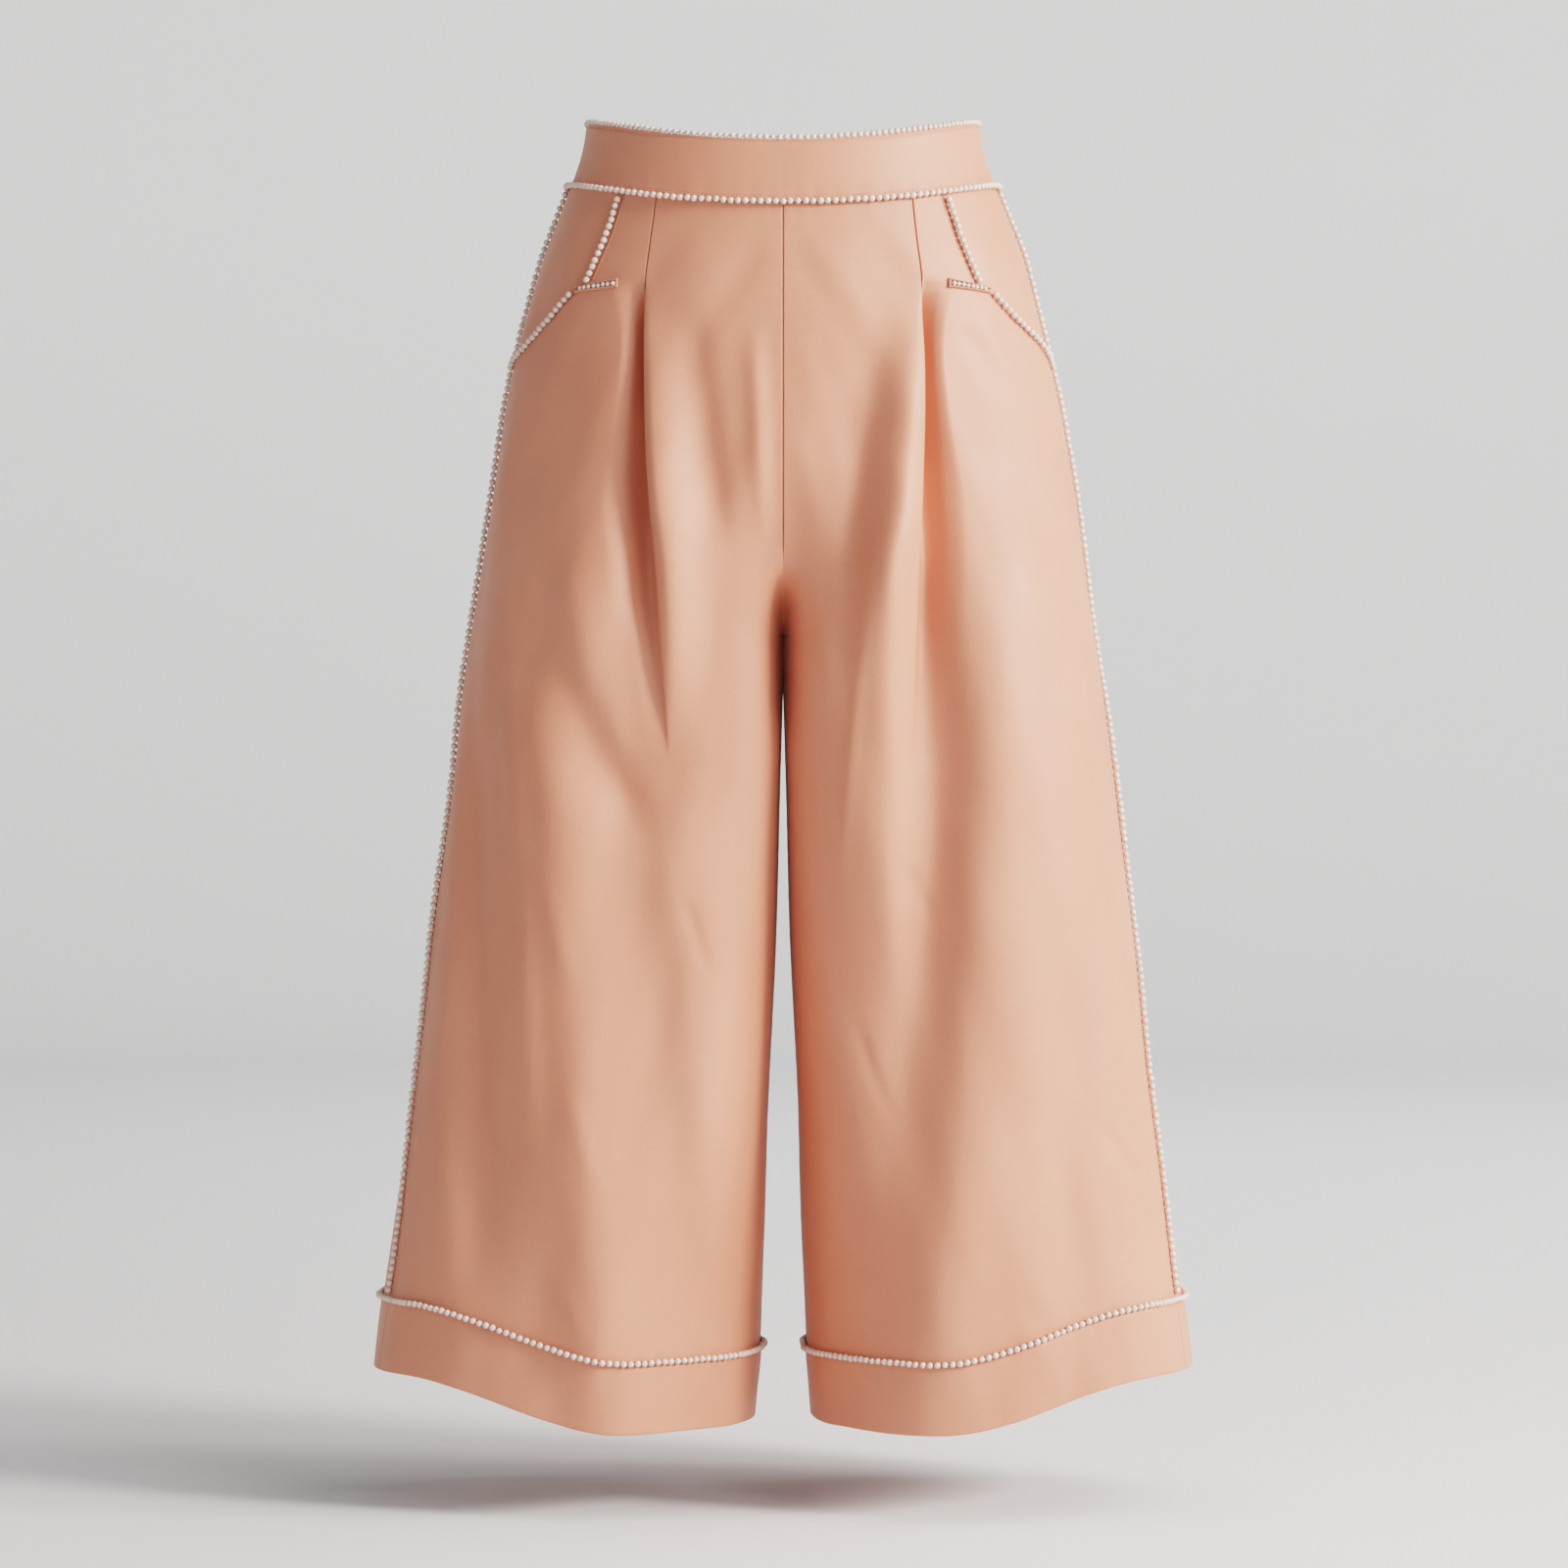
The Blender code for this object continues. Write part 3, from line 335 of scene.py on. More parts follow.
# Soft folds, each through its places down the leg. Widths are on the side of the garment's middle and on the
# outer side, and a trough has a height below 0. A fold that runs into the hem has its last place below it.
Fold = namedtuple("Fold", "drops across inner outer height")
FRONT_FOLDS = {
    "left": in_metres(Fold, 5, (
        # between the pleat and centre front: the top layer's ridge, the trough inside it, and how it widens
        ((70, 105, 132, 168, 210, 258, 320), (79, 77.5, 75.5, 73.5, 71, 65, 60), 15, 15, 11.5),
        ((100, 132, 168, 210, 258, 330), (58, 53, 48, 42, 38, 34), 24, 12, -6.2),
        ((130, 210, 258, 300, 343, 391, 440, 530),
         (73.5, 70.5, 64.5, 62.5, 61.2, 60.8, 61.5, 63), 28, 18.5, 12.2),
        # the low ridge beside centre front, below the seat line
        ((140, 190, 250, 300, 360), (33, 32, 30, 27, 24), 18, 13, 4.8),
        ((190, 234, 283, 343, 415, 460), (62, 56, 50, 44, 38, 34), 4, 5, 1.3),
        # the trough outside the pleat, and the broad ridge beyond it that runs down to the hem
        ((110, 149, 210, 271, 343, 391, 439, 500, 560, 640),
         (90, 90, 91, 92, 94, 95.5, 92, 85, 76, 62), 16, 22, -8.5),
        ((110, 198, 246, 295, 343, 391, 439, 500, 560, 620, 680, 900),
         (98, 103, 112, 116, 124, 124, 121, 117, 112, 106, 98, 92), 26, 50, 9),
        ((480, 560, 620, 680, 900), (114, 110, 104, 97, 90), 52, 50, 8),
        ((350, 450, 560, 680, 900), (165, 172, 178, 182, 190), 20, 26, -4),
        # small creases
        ((90, 114, 145), (112, 125, 144), 9, 11, -1.5),
        ((580, 607, 635), (193, 211, 230), 5, 4, -1.2),
        ((510, 543, 572), (44, 56, 70), 5, 4, -1),
        ((420, 444, 466), (70, 84, 96), 5, 4, -0.8),
        ((668, 693, 714), (144, 157, 168), 4, 6, -1),
    )),
    "right": in_metres(Fold, 5, (
        # between the pleat and centre front: the top layer's ridge, where it goes on, two streaks by the seam
        ((75, 105, 132, 168, 210, 258, 310, 380), (80, 79, 78, 76.5, 73.5, 69, 68, 69), 18.5, 12, 10.5),
        ((340, 391, 439, 500, 560, 680), (71, 73, 67, 57, 50, 44), 27, 18, 5.5),
        ((70, 107, 150, 198, 255), (57, 54.5, 50, 43, 33), 10, 14, -3.6),
        ((85, 132, 168, 210, 250), (16, 14.5, 12.5, 10, 8), 10, 8, 3.6),
        # the long ridge outside the pleat, down to the hem, and the slanting trough that crosses it
        ((70, 150, 198, 246, 295, 343, 391, 439, 500, 560, 620, 680, 900),
         (108, 113, 119, 127, 131, 137, 138, 136, 128, 122, 117, 114, 110), 32, 26, 9.5),
        ((225, 270, 307, 346, 373, 391, 430), (150, 146, 138, 121.5, 108, 98.5, 84), 13.5, 28, -7.8),
        ((262, 319, 370), (92, 86, 83), 8, 8, 1.5),
        ((480, 560, 620, 680, 900), (126, 120, 116, 112, 108), 50, 44, 6),
        # the trough nearest the side, and the thin line inside it
        ((280, 379, 470, 560, 740), (195, 195, 196, 194, 188), 24, 16, -9.5),
        ((240, 295, 343, 391, 439, 500, 560, 650), (170, 168, 167, 163, 159, 157, 155, 148), 7, 10, 3.2),
        # small creases
        ((412, 462, 510), (150, 139, 126), 4, 5, 1.2),
        ((552, 580, 612), (132, 124, 118), 5, 4, 1.4),
        ((650, 674, 698), (143, 132, 122), 5, 4, 1),
        ((442, 469, 494), (61, 53, 46), 4, 5, -0.9),
    )),
}
BACK_FOLDS = {
    "left": in_metres(Fold, 5, (
        ((170, 260, 400, 560, 900), (104, 96, 90, 84, 78), 26, 40, 8),
        ((180, 260, 340, 480), (66, 56, 49, 44), 20, 16, -5.5),
        ((290, 420, 560, 740), (148, 154, 162, 170), 24, 26, -6.5),
        ((200, 330, 480), (174, 164, 148), 7, 9, 2),
        ((400, 520, 660), (120, 110, 112), 7, 10, 2),
        ((300, 318, 345), (30, 48, 72), 6, 5, -1.5),
        ((560, 590, 625), (60, 66, 78), 4, 6, -1.1),
    )),
    "right": in_metres(Fold, 5, (
        ((160, 280, 400, 580, 900), (96, 94, 98, 109, 112), 30, 36, 8),
        ((200, 280, 340, 460), (58, 50, 46, 42), 18, 18, -5.5),
        ((290, 400, 540, 740), (148, 152, 156, 158), 24, 28, -6.5),
        ((230, 360, 500), (178, 172, 164), 9, 6, 2),
        ((440, 560, 680), (70, 78, 82), 8, 6, 1.8),
        ((296, 316, 340), (32, 52, 78), 5, 6, -1.4),
        ((600, 630, 655), (172, 186, 204), 6, 4, -1.1),
    )),
}
FOLD_FREE_WAIST = 0.05  # folds grow from nothing over this drop below the waist seam
FOLD_FREE_EDGE = 0.022  # and from nothing over this distance from the centre and inside-leg seams
FOLD_ENDS = 0.35  # share of a fold's length over which it fades at each end
# The cloth's slack: slow swells over each panel, by length along and down, with their height
Swell = namedtuple("Swell", "round_length down_length phase height")
SLACK = (
    Swell(0.083, 0.210, 0.4, 0.00045),
    Swell(0.061, -0.155, 2.1, 0.00035),
    Swell(0.046, 0.330, 4.4, 0.00025),
    Swell(0.027, -0.120, 1.2, 0.00012),
)

FORM_STEPS = 300  # points on each quarter of the form, from which the pieces' own points are read
DROP_STEP = 0.0005
SIDES = {"left": 1, "right": -1}


def ease(value):
    """0 below 0, 1 above 1, and a smooth step between."""
    value = np.clip(value, 0.0, 1.0)
    return value * value * (3.0 - 2.0 * value)


def smooth_read(place, places, values):
    """Reads a table on a smooth curve through its rows."""
    places = np.asarray(places, float)
    values = np.asarray(values, float)
    slopes = np.gradient(values, places)
    place = np.clip(place, places[0], places[-1])
    low = np.clip(np.searchsorted(places, place) - 1, 0, len(places) - 2)
    span = places[low + 1] - places[low]
    t = (place - places[low]) / span
    start = (1 + 2 * t) * (1 - t) ** 2 * values[low] + t * (1 - t) ** 2 * span * slopes[low]
    end = t * t * (3 - 2 * t) * values[low + 1] + t * t * (t - 1) * span * slopes[low + 1]
    return start + end


def size_at(field, drop):
    return smooth_read(drop, [s.drop for s in SECTIONS], [getattr(s, field) for s in SECTIONS])


def length_along(path):
    """How far along a path each of its points lies."""
    return np.concatenate([[0.0], np.cumsum(np.linalg.norm(np.diff(path, axis=0), axis=1))])


def read_path(place, along, path):
    """Reads each column of a path at these places along it."""
    return np.stack([np.interp(place, along, column) for column in path.T], axis=-1)


def leg_middle(drop):
    """The middle of one leg's round and its half width. Above the crotch it reaches past centre front."""
    half_width = size_at("half_width", drop)
    share = ease((drop - SPLIT_STARTS) / (CROTCH - SPLIT_STARTS))
    radius = (half_width - size_at("half_gap", drop)) / (1 + share)
    return half_width - radius, radius


def round_point(turn, drop):
    """A point of the bare form: turn is 0 at the inside leg, pi/2 at the front and pi at the outer side."""
    square = np.where(np.cos(turn) > 0, size_at("inner_square", drop), size_at("outer_square", drop))
    inward = np.sign(np.cos(turn)) * np.abs(np.cos(turn)) ** (2 / square)
    depth = np.abs(np.sin(turn)) ** (2 / square)
    front = np.sin(turn) > 0
    dip = WAIST_DIP * depth**2 * front * (1 - ease(drop / WAIST_DIP_ENDS))
    fall_share = ease((drop - HEM_FALL_STARTS) / (HEM_SEAM - HEM_FALL_STARTS))
    fall = HEM_FALL * ease((inward - HEM_FALL_SIDE) / HEM_FALL_SPAN) * fall_share
    true_drop = drop + dip + fall
    middle, radius = leg_middle(true_drop)
    across = middle - radius * inward
    hollow = 0.0
    for h in HOLLOWS:
        grown = ease((true_drop - h.starts) / h.grows) * (1 - ease((true_drop - h.fades) / h.fade_span))
        hollow = hollow + h.depth * grown * np.exp(-((across / h.width) ** 2))
    reach = np.where(front, -size_at("front", true_drop) * (1 - hollow), size_at("back", true_drop))
    return np.stack([across, reach * depth, -true_drop], axis=-1)


def turn_of(inward, drop):
    """The turn, between 0 and pi, at which a round has come this share of its half width inward."""
    square = size_at("inner_square", drop) if inward > 0 else size_at("outer_square", drop)
    return math.acos(math.copysign(abs(inward) ** (square / 2), inward))


def bare_ring(drop, half_seam):
    """The form of one half at one drop, from centre front round the side seam to centre back.

    Its points are evenly spaced from seam to seam. With each goes the way that the form runs down there.
    """
    middle, radius = leg_middle(drop)
    first = turn_of(min((middle - half_seam) / radius, 1.0), drop)
    share = (drop - SIDE_SEAM_TURN_STARTS) / (HEM_SEAM - SIDE_SEAM_TURN_STARTS)
    side = math.pi - SIDE_SEAM_TURN * min(max(share, 0.0), 1.0)
    steps = ease(np.linspace(0.0, 1.0, 4 * FORM_STEPS))
    halves = []
    for start, end in ((first, side), (side, 2 * math.pi - first)):
        turns = start + (end - start) * steps
        points = round_point(turns, drop)
        down = round_point(turns, drop + DROP_STEP) - round_point(turns, drop - DROP_STEP)
        along = length_along(points)
        places = np.linspace(0.0, along[-1], FORM_STEPS + 1)
        halves.append(read_path(places, along, np.concatenate([points, down], axis=1)))
    ring = np.concatenate([halves[0], halves[1][1:]])
    return ring[:, :3], ring[:, 3:]


class Ring:
    """The form at one drop, with its distance round from centre front and its outward direction."""

    def __init__(self, side, drop, half_seam=SEAM_GAP / 2):
        self.side = side
        self.drop = drop
        self.points, self.down = bare_ring(drop, half_seam)
        self.round = np.gradient(self.points, axis=0)
        self.along = length_along(self.points)
        self.side_seam = self.along[FORM_STEPS]
        self.back_seam = self.along[-1]

    def read(self, values, along):
        return read_path(along, self.along, values)

    def outward(self, along):
        out = np.cross(self.read(self.down, along), self.read(self.round, along))
        return out / np.linalg.norm(out, axis=-1, keepdims=True)

    def front_place(self, across):
        """The distance round at which the front lies this far across."""
        return np.interp(across, self.points[: FORM_STEPS + 1, 0], self.along[: FORM_STEPS + 1])

    def back_place(self, across):
        back = slice(None, FORM_STEPS - 1, -1)
        return np.interp(across, self.points[back, 0], self.along[back])

    def fold_lift(self, along):
        """How far the folds and the slack lift the cloth, or lower it, at these distances round."""
        lift = np.zeros_like(along)
        for folds, place in ((FRONT_FOLDS, self.front_place), (BACK_FOLDS, self.back_place)):
            for fold in folds[self.side]:
                share = (self.drop - fold.drops[0]) / (fold.drops[-1] - fold.drops[0])
                if not 0 < share < 1:
                    continue
                middle = smooth_read(self.drop, fold.drops, fold.across)
                below = smooth_read(self.drop + DROP_STEP, fold.drops, fold.across)
                slope = (below - middle) / DROP_STEP
                strength = ease(share / FOLD_ENDS) * ease((1 - share) / FOLD_ENDS)
                distance = (along - place(middle)) / math.hypot(1, slope)
                if place == self.back_place:
                    distance = -distance
                width = np.where(distance < 0, fold.inner, fold.outer)
                lift += fold.height * strength * np.exp(-((distance / width) ** 2))
        for swell in SLACK:
            turns = (along - self.side_seam) / swell.round_length + self.drop / swell.down_length
            lift += swell.height * np.sin(2 * math.pi * turns + swell.phase + SIDES[self.side])
        edge = self.read(self.points, along)[..., 0] / FOLD_FREE_EDGE
        return lift * ease(edge) * ease(self.drop / FOLD_FREE_WAIST)

    def at(self, along, lift=0.0):
        """Points this far round and this far out from the folded cloth, on the right or the left leg."""
        along = np.asarray(along, float)
        lift = np.asarray(self.fold_lift(along) + lift)
        points = self.read(self.points, along) + self.outward(along) * lift[..., None]
        return points * (SIDES[self.side], 1, 1)


def seam_roll(distance):
    """How far the cloth has rolled down into a seam at this distance from it."""
    return -SEAM_DEPTH * (1 - ease(distance / SEAM_ROLL))


def pucker(place, distance):
    """How far the stitches of a seam draw the cloth into small puckers, at this place along the seam."""
    quick, slow, wandering = (place / wave for wave in PUCKER_WAVES)
    waves = np.sin(quick + PUCKER_WANDER * np.sin(wandering)) + PUCKER_SLOW * np.sin(slow)
    return PUCKER_HEIGHT * waves * np.exp(-distance / PUCKER_REACH) * ease(distance / PUCKER_STARTS)


def from_edge(start, end, count):
    """Places from one edge, close together beside it and then evenly spaced."""
    near = start + (1 if end > start else -1) * EDGE_STEPS
    return np.concatenate([near, np.linspace(near[-1], end, count + 1)[1:]])


def cloth_rows(rings, places, lifts):
    """The points of a sheet, row by row, and where each lies among the cloth's threads."""
    points = np.array([ring.at(*row) for ring, *row in zip(rings, places, lifts)])
    threads = np.array([[(p - ring.side_seam, -ring.drop) for p in row] for ring, row in zip(rings, places)])
    return points, threads


def add_cloth(name, points, threads, material, wall=None, turned=False):
    """A sheet of cloth through rows of points. With no wall, its last row joins its first, as in a fold."""
    rows, columns = points.shape[:2]
    numbers = np.arange(rows * columns).reshape(rows, columns)
    if wall is None:
        numbers = np.concatenate([numbers, numbers[:1]])
    quads = np.stack([numbers[:-1, :-1], numbers[1:, :-1], numbers[1:, 1:], numbers[:-1, 1:]], axis=-1)
    faces = quads.reshape(-1, 4).tolist()
    if wall is None:
        faces += [numbers[:-1, 0].tolist()[::-1], numbers[:-1, -1].tolist()]
    if turned:
        faces = [face[::-1] for face in faces]
    piece = add_mesh(name, points.reshape(-1, 3), faces, [material])
    places = threads.reshape(-1, 2)[np.concatenate(faces)].astype(np.float32)
    piece.data.uv_layers.new(name="threads").data.foreach_set("uv", places.reshape(-1))
    if wall is not None:
        thick = piece.modifiers.new("wall", "SOLIDIFY")
        thick.thickness = wall
        thick.offset = -1.0
    return piece


def fasten(piece, node=None, slot="cloth", **sheet):
    """Fixes a piece to the garment in place of a node. The sheet's flat size and hang are not used."""
    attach(piece, "garment")
    if node:
        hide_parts(node)


# Peach crepe: a fine plain weave of tightly twisted yarn, which gives it a pebbled face, a soft satin sheen
# and deep colour in its folds. Its threads are 0.25 mm apart, and drawn 0.5 mm apart so that they show. Its
# colour is painted darker in the weave's hollows between the threads: painted shade, with random tone from
# the pebble and from patches of deeper and paler dye.
THREAD_SPACING = 0.0005
PEBBLE = 0.00143  # the grain of its pebbled face, drawn coarse enough to show too
DYE_PATCH = 0.1111  # where the dye is a little deeper or paler
WAVE_LENGTH = 0.314  # of a wave texture at scale 1

peach_crepe, crepe = new_material("peach_crepe")
cloth_place = add_node(peach_crepe, "UVMap", uv_map="threads").outputs["UV"]
body_place = add_node(peach_crepe, "TexCoord").outputs["Object"]
dye = add_node(peach_crepe, "TexNoise", _0=body_place, Scale=1 / DYE_PATCH, Detail=3.0)
warp, weft = (
    add_node(
        peach_crepe, "TexWave", bands_direction=way,
        _0=cloth_place, Scale=WAVE_LENGTH / THREAD_SPACING, Distortion=1.2,
    )
    for way in "XY"
)
weave = add_node(peach_crepe, "Math", operation="MAXIMUM", _0=warp.outputs["Fac"], _1=weft.outputs["Fac"])
pebble = add_node(peach_crepe, "TexNoise", _0=body_place, Scale=1 / PEBBLE, Detail=2.0)
# Painted shade: the colour darkens where the weave sinks between the threads; the pebble adds random tone
pebble_and_weave_shade = add_node(
    peach_crepe, "Math", operation="SUBTRACT", _0=pebble.outputs["Fac"], _1=weave.outputs["Value"]
)
# Random patches of deeper and paler dye, together with the painted shade of the weave's hollows
dye_and_weave_shade = add_node(
    peach_crepe, "Math", operation="MULTIPLY_ADD", use_clamp=True,
    _0=pebble_and_weave_shade.outputs["Value"], _1=0.6, _2=dye.outputs["Fac"],
)
dye_and_shade_colour = add_node(
    peach_crepe, "Mix", data_type="RGBA", Factor=dye_and_weave_shade.outputs["Value"],
    _6=linear("#dc947b"), _7=linear("#cc8068"),
)
weave_bump = add_node(peach_crepe, "Bump", Strength=0.22, Distance=0.0001, Height=weave.outputs["Value"])
pebble_bump = add_node(
    peach_crepe, "Bump", Strength=0.25, Distance=0.0002,
    Height=pebble.outputs["Fac"], Normal=weave_bump.outputs["Normal"],
)
set_inputs(
    crepe, Base_Color=dye_and_shade_colour.outputs[2], Normal=pebble_bump.outputs["Normal"], Roughness=0.52,
    Specular_IOR_Level=0.5, Sheen_Weight=0.28, Sheen_Roughness=0.4, Sheen_Tint=linear("#ffdccb"),
)

PANEL_ROWS = 222
PLEAT_COLUMNS = 86
INNER_COLUMNS = 30
CROTCH_COLUMNS = 24  # nearest the centre and the inside leg
CROTCH_RUN = 0.0200  # how far across they reach
OUTER_COLUMNS = 30
HEM_ROWS_SPAN = 0.0017  # above the hem seam, where the rows lie closer
CROTCH_ROWS = np.array((0.0060, 0.0045, 0.0032, 0.0021, 0.0013, 0.0007, 0.0003, 0.0))  # and above the crotch


def mouth_place(ring):
    """How far round the pocket mouth lies, or the side seam below the mouth."""
    if ring.drop >= MOUTH_ENDS:
        return ring.side_seam
    return ring.front_place(np.interp(ring.drop, *zip(*POCKET_MOUTH)))


def edge_lift(ring, along):
    """The roll and the puckers along all four edges of a panel."""
    inner, outer = along - along[0], along[-1] - along
    from_hem = HEM_SEAM - ring.drop
    lost = ROLL_LOST * ease((ring.drop - ROLL_FADES) / ROLL_FADE_SPAN)
    lift = seam_roll(inner) * (1 - lost) + seam_roll(outer)
    lift += seam_roll(ring.drop) + seam_roll(from_hem) + pucker(along, ring.drop) + pucker(along, from_hem)
    upright = pucker(ring.drop + along * PUCKER_DRIFT, np.minimum(inner, outer))
    return lift + upright * UPRIGHT_PUCKER


def front_columns(ring):
    """Where one row's points lie, and how far the pleat and the seams lift them."""
    flat, opened, lift = (
        smooth_read(np.linspace(0, len(PLEAT_PROFILE) - 1, PLEAT_COLUMNS), range(len(PLEAT_PROFILE)), values)
        for values in zip(*PLEAT_PROFILE)
    )
    drops, *line = zip(*PLEAT_LINES[ring.side])
    across, opening, spread = (float(smooth_read(ring.drop, drops, values)) for values in line)
    opening = min(1.0, max(0.0, opening))
    pleat = ring.front_place(across)
    first = SEAM_GAP / 2
    last = mouth_place(ring) - SEAM_GAP / 2
    before = min(1.0, PLEAT_ROOM * (pleat - first) / -flat[0])
    after = min(1.0, PLEAT_ROOM * (last - pleat) / flat[-1])
    flat = flat * np.where(flat < 0, before, after)
    spread = 1 + (spread - 1) * ease(opening / SPREAD_OPENING)
    places = pleat + flat + (opened * np.where(opened > 0, spread, 1.0) - flat) * opening
    corner = ring.front_place(CROTCH_RUN)
    crotch = from_edge(first, corner, CROTCH_COLUMNS)[:-1]
    inside = np.concatenate([crotch, np.linspace(corner, places[0], INNER_COLUMNS)[:-1]])
    outside = from_edge(last, places[-1], OUTER_COLUMNS)[-2::-1]
    along = np.concatenate([inside, places, outside])
    sewn = 1 - ease((ring.drop - PLEAT_SEWN) / PLEAT_FREED)
    pleated = lift * opening - PLEAT_STITCH_DEPTH * np.exp(-((flat / PLEAT_STITCH_WIDTH) ** 2)) * sewn
    pleated = np.concatenate([np.zeros(len(inside)), pleated, np.zeros(len(outside))])
    return along, pleated + edge_lift(ring, along)


def add_panel(name, side, rings, columns, node, **sheet):
    """One leg's panel of crepe. Columns says where the points of a ring lie, and their lift."""
    places, lifts = zip(*[columns(ring) for ring in rings])
    rows = cloth_rows(rings, places, lifts)
    panel = add_cloth(f"{name}_{side}", *rows, peach_crepe, CLOTH_WALL, side == "right")
    fasten(panel, f"{node}_{side}", held="hung", **sheet)


last_row = HEM_SEAM - SEAM_GAP / 2
row_drops = [
    from_edge(SEAM_GAP / 2, last_row - HEM_ROWS_SPAN + 0.0001, PANEL_ROWS),
    from_edge(last_row, last_row - HEM_ROWS_SPAN, 1),
    [point.drop for point in POCKET_MOUTH if point.drop > SEAM_GAP],
    CROTCH - CROTCH_ROWS,
]
panel_rings = {
    side: [
        Ring(side, drop, SEAM_OVERLAP * (1 + PRESSED_OVERLAP * ease((drop - ROLL_FADES) / OVERLAP_SPAN)))
        for drop in np.unique(np.round(np.concatenate(row_drops), 6))
    ]
    for side in SIDES
}
for side, rings in panel_rings.items():
    add_panel(
        "front_panel", side, rings, front_columns, "front",
        flat=(0.38, 0.75), rests_on=["band_front"], area=0.207,
    )

# ---- Back panels ----
# Two panels of the same crepe, each shaped at the waist by one sewn dart. Between them the centre back seam
# stands a little open at the top, where the zip is.

BACK_COLUMNS = 100
DART_TOP = 0.0660  # how far across the dart lies at the waist seam
DART_TIP = 0.0600
DART_ENDS = 0.1120  # drop of its tip
DART_FADES = 0.02
DART_DEPTH = 0.0008
DART_WIDTH = 0.0009
DART_STEPS = np.array((-0.004, -0.002, -0.0013, -0.0007, 0, 0.0007, 0.0013, 0.002, 0.004))
DART_FULLNESS = 0.0012  # the swell that its tip leaves in the cloth
FULLNESS_HALF = (0.016, 0.035)  # its half width and half length
ZIP_OPENING = 0.0011  # half the slot between the folded edges
ZIP_ENDS = 0.1120  # drop at which the slot has closed
ZIP_CLOSES = 0.012  # over which it closes
EDGE_RUN = 0.0016  # from an edge to the evenly spaced points


def zip_slot(drop):
    """Half the opening between the back panels at this drop."""
    opening = 1 - ease((drop - ZIP_ENDS + ZIP_CLOSES) / ZIP_CLOSES)
    return SEAM_GAP / 2 + (ZIP_OPENING - SEAM_GAP / 2) * opening


def back_columns(ring):
    """Where one row's points lie, and how far the dart and the seams lift them."""
    first = ring.side_seam + SEAM_GAP / 2
    last = ring.back_seam - zip_slot(ring.drop)
    dart = ring.back_place(DART_TOP + (DART_TIP - DART_TOP) * ring.drop / DART_ENDS)
    near_dart = dart + DART_STEPS
    before = np.linspace(first + EDGE_RUN, near_dart[0], BACK_COLUMNS // 2)[:-1]
    corner = ring.back_place(CROTCH_RUN)
    after = np.linspace(near_dart[-1], corner, BACK_COLUMNS // 3)[1:]
    crotch = np.linspace(corner, last - EDGE_RUN, CROTCH_COLUMNS)[1:]
    along = np.concatenate([first + EDGE_STEPS, before, near_dart, after, crotch, last - EDGE_STEPS[::-1]])
    sewn = 1 - ease((ring.drop - DART_ENDS + DART_FADES) / DART_FADES)
    lift = -DART_DEPTH * sewn * np.exp(-(((along - dart) / DART_WIDTH) ** 2))
    half_width, half_length = FULLNESS_HALF
    below = (ring.drop - DART_ENDS - DART_FADES) / half_length
    swell = np.exp(-(below**2) - ((along - dart) / half_width) ** 2)
    return along, lift + DART_FULLNESS * swell + edge_lift(ring, along)


for side, rings in panel_rings.items():
    add_panel(
        "back_panel", side, rings, back_columns, "back",
        flat=(0.42, 0.75), rests_on=[f"band_back_{side}"], area=0.24,
    )

# ---- Pocket facings ----
# Behind each slant mouth the side of the hip is a facing of the same crepe. It lies a little deeper than the
# front panel, and comes up level with it at the side seam.

FACING_DEPTH = 0.0010
FACING_COLUMNS = 34
FACING_RISE = 0.016  # the distance from the mouth over which it comes up
FACING_NARROW = 0.006  # a facing narrower than this lies less deep
FACING_LEAST = 0.0002  # its width where the mouth meets the side seam


def facing_columns(ring):
    """Where one row's points lie, and how far below the front panel."""
    first = mouth_place(ring) + SEAM_GAP
    last = ring.side_seam - SEAM_GAP / 2
    span = max(last - first, FACING_LEAST)
    share = np.linspace(0.0, 1.0, FACING_COLUMNS)
    along = first + span * share
    depth = FACING_DEPTH * min(1.0, span / FACING_NARROW)
    lift = -depth * (1 - ease(share * span / FACING_RISE)) + seam_roll(last - along)
    return along, lift + seam_roll(ring.drop)


for side in SIDES:
    rings = [ring for ring in panel_rings[side] if ring.drop <= MOUTH_ENDS]
    add_panel(
        "facing", side, rings, facing_columns, "pocket_facing",
        flat=(0.10, 0.123), rests_on=["band_front"], area=0.0083,
    )

# ---- Pocket welts ----
# A narrow folded strip across the jog of each pocket mouth, stitched along both edges and tacked down at its
# inner end.

WELT_DROP = 0.0682  # of its outer end's middle
WELT_RISE = 0.0060  # how much higher its inner end lies
WELT_ACROSS = (0.1292, 0.1022)  # its outer and inner ends
WELT_HEIGHT = 0.0060
WELT_TAPER = (0.62, 1.12)  # its height at the outer and the inner end, as a share of that
WELT_COLUMNS = 60
# The lower half of the welt's section in millimetres, from its middle out: how far below the middle, and its
# lift off the panel. The upper half is the same, and the welt's inside lies on the panel.
WELT_SECTION = (
    (0.6, 0.2), (1.4, 0.3), (1.6, 0.7), (1.8, 1.8), (2.2, 2.2), (2.6, 2.0), (2.9, 1.2), (3.0, 0.1),
)
WELT_INSIDE = ((2.4, 0.0), (0.0, 0.0), (-2.4, 0.0))


def welt_point(side, share, below, lift):
    """A point on the welt, from its outer end inward, this far below its middle and off the panel."""
    below *= WELT_TAPER[0] + (WELT_TAPER[1] - WELT_TAPER[0]) * share
    ring = Ring(side, WELT_DROP - WELT_RISE * share + below)
    across = WELT_ACROSS[0] + (WELT_ACROSS[1] - WELT_ACROSS[0]) * share
    return ring.at(ring.front_place(across), lift)


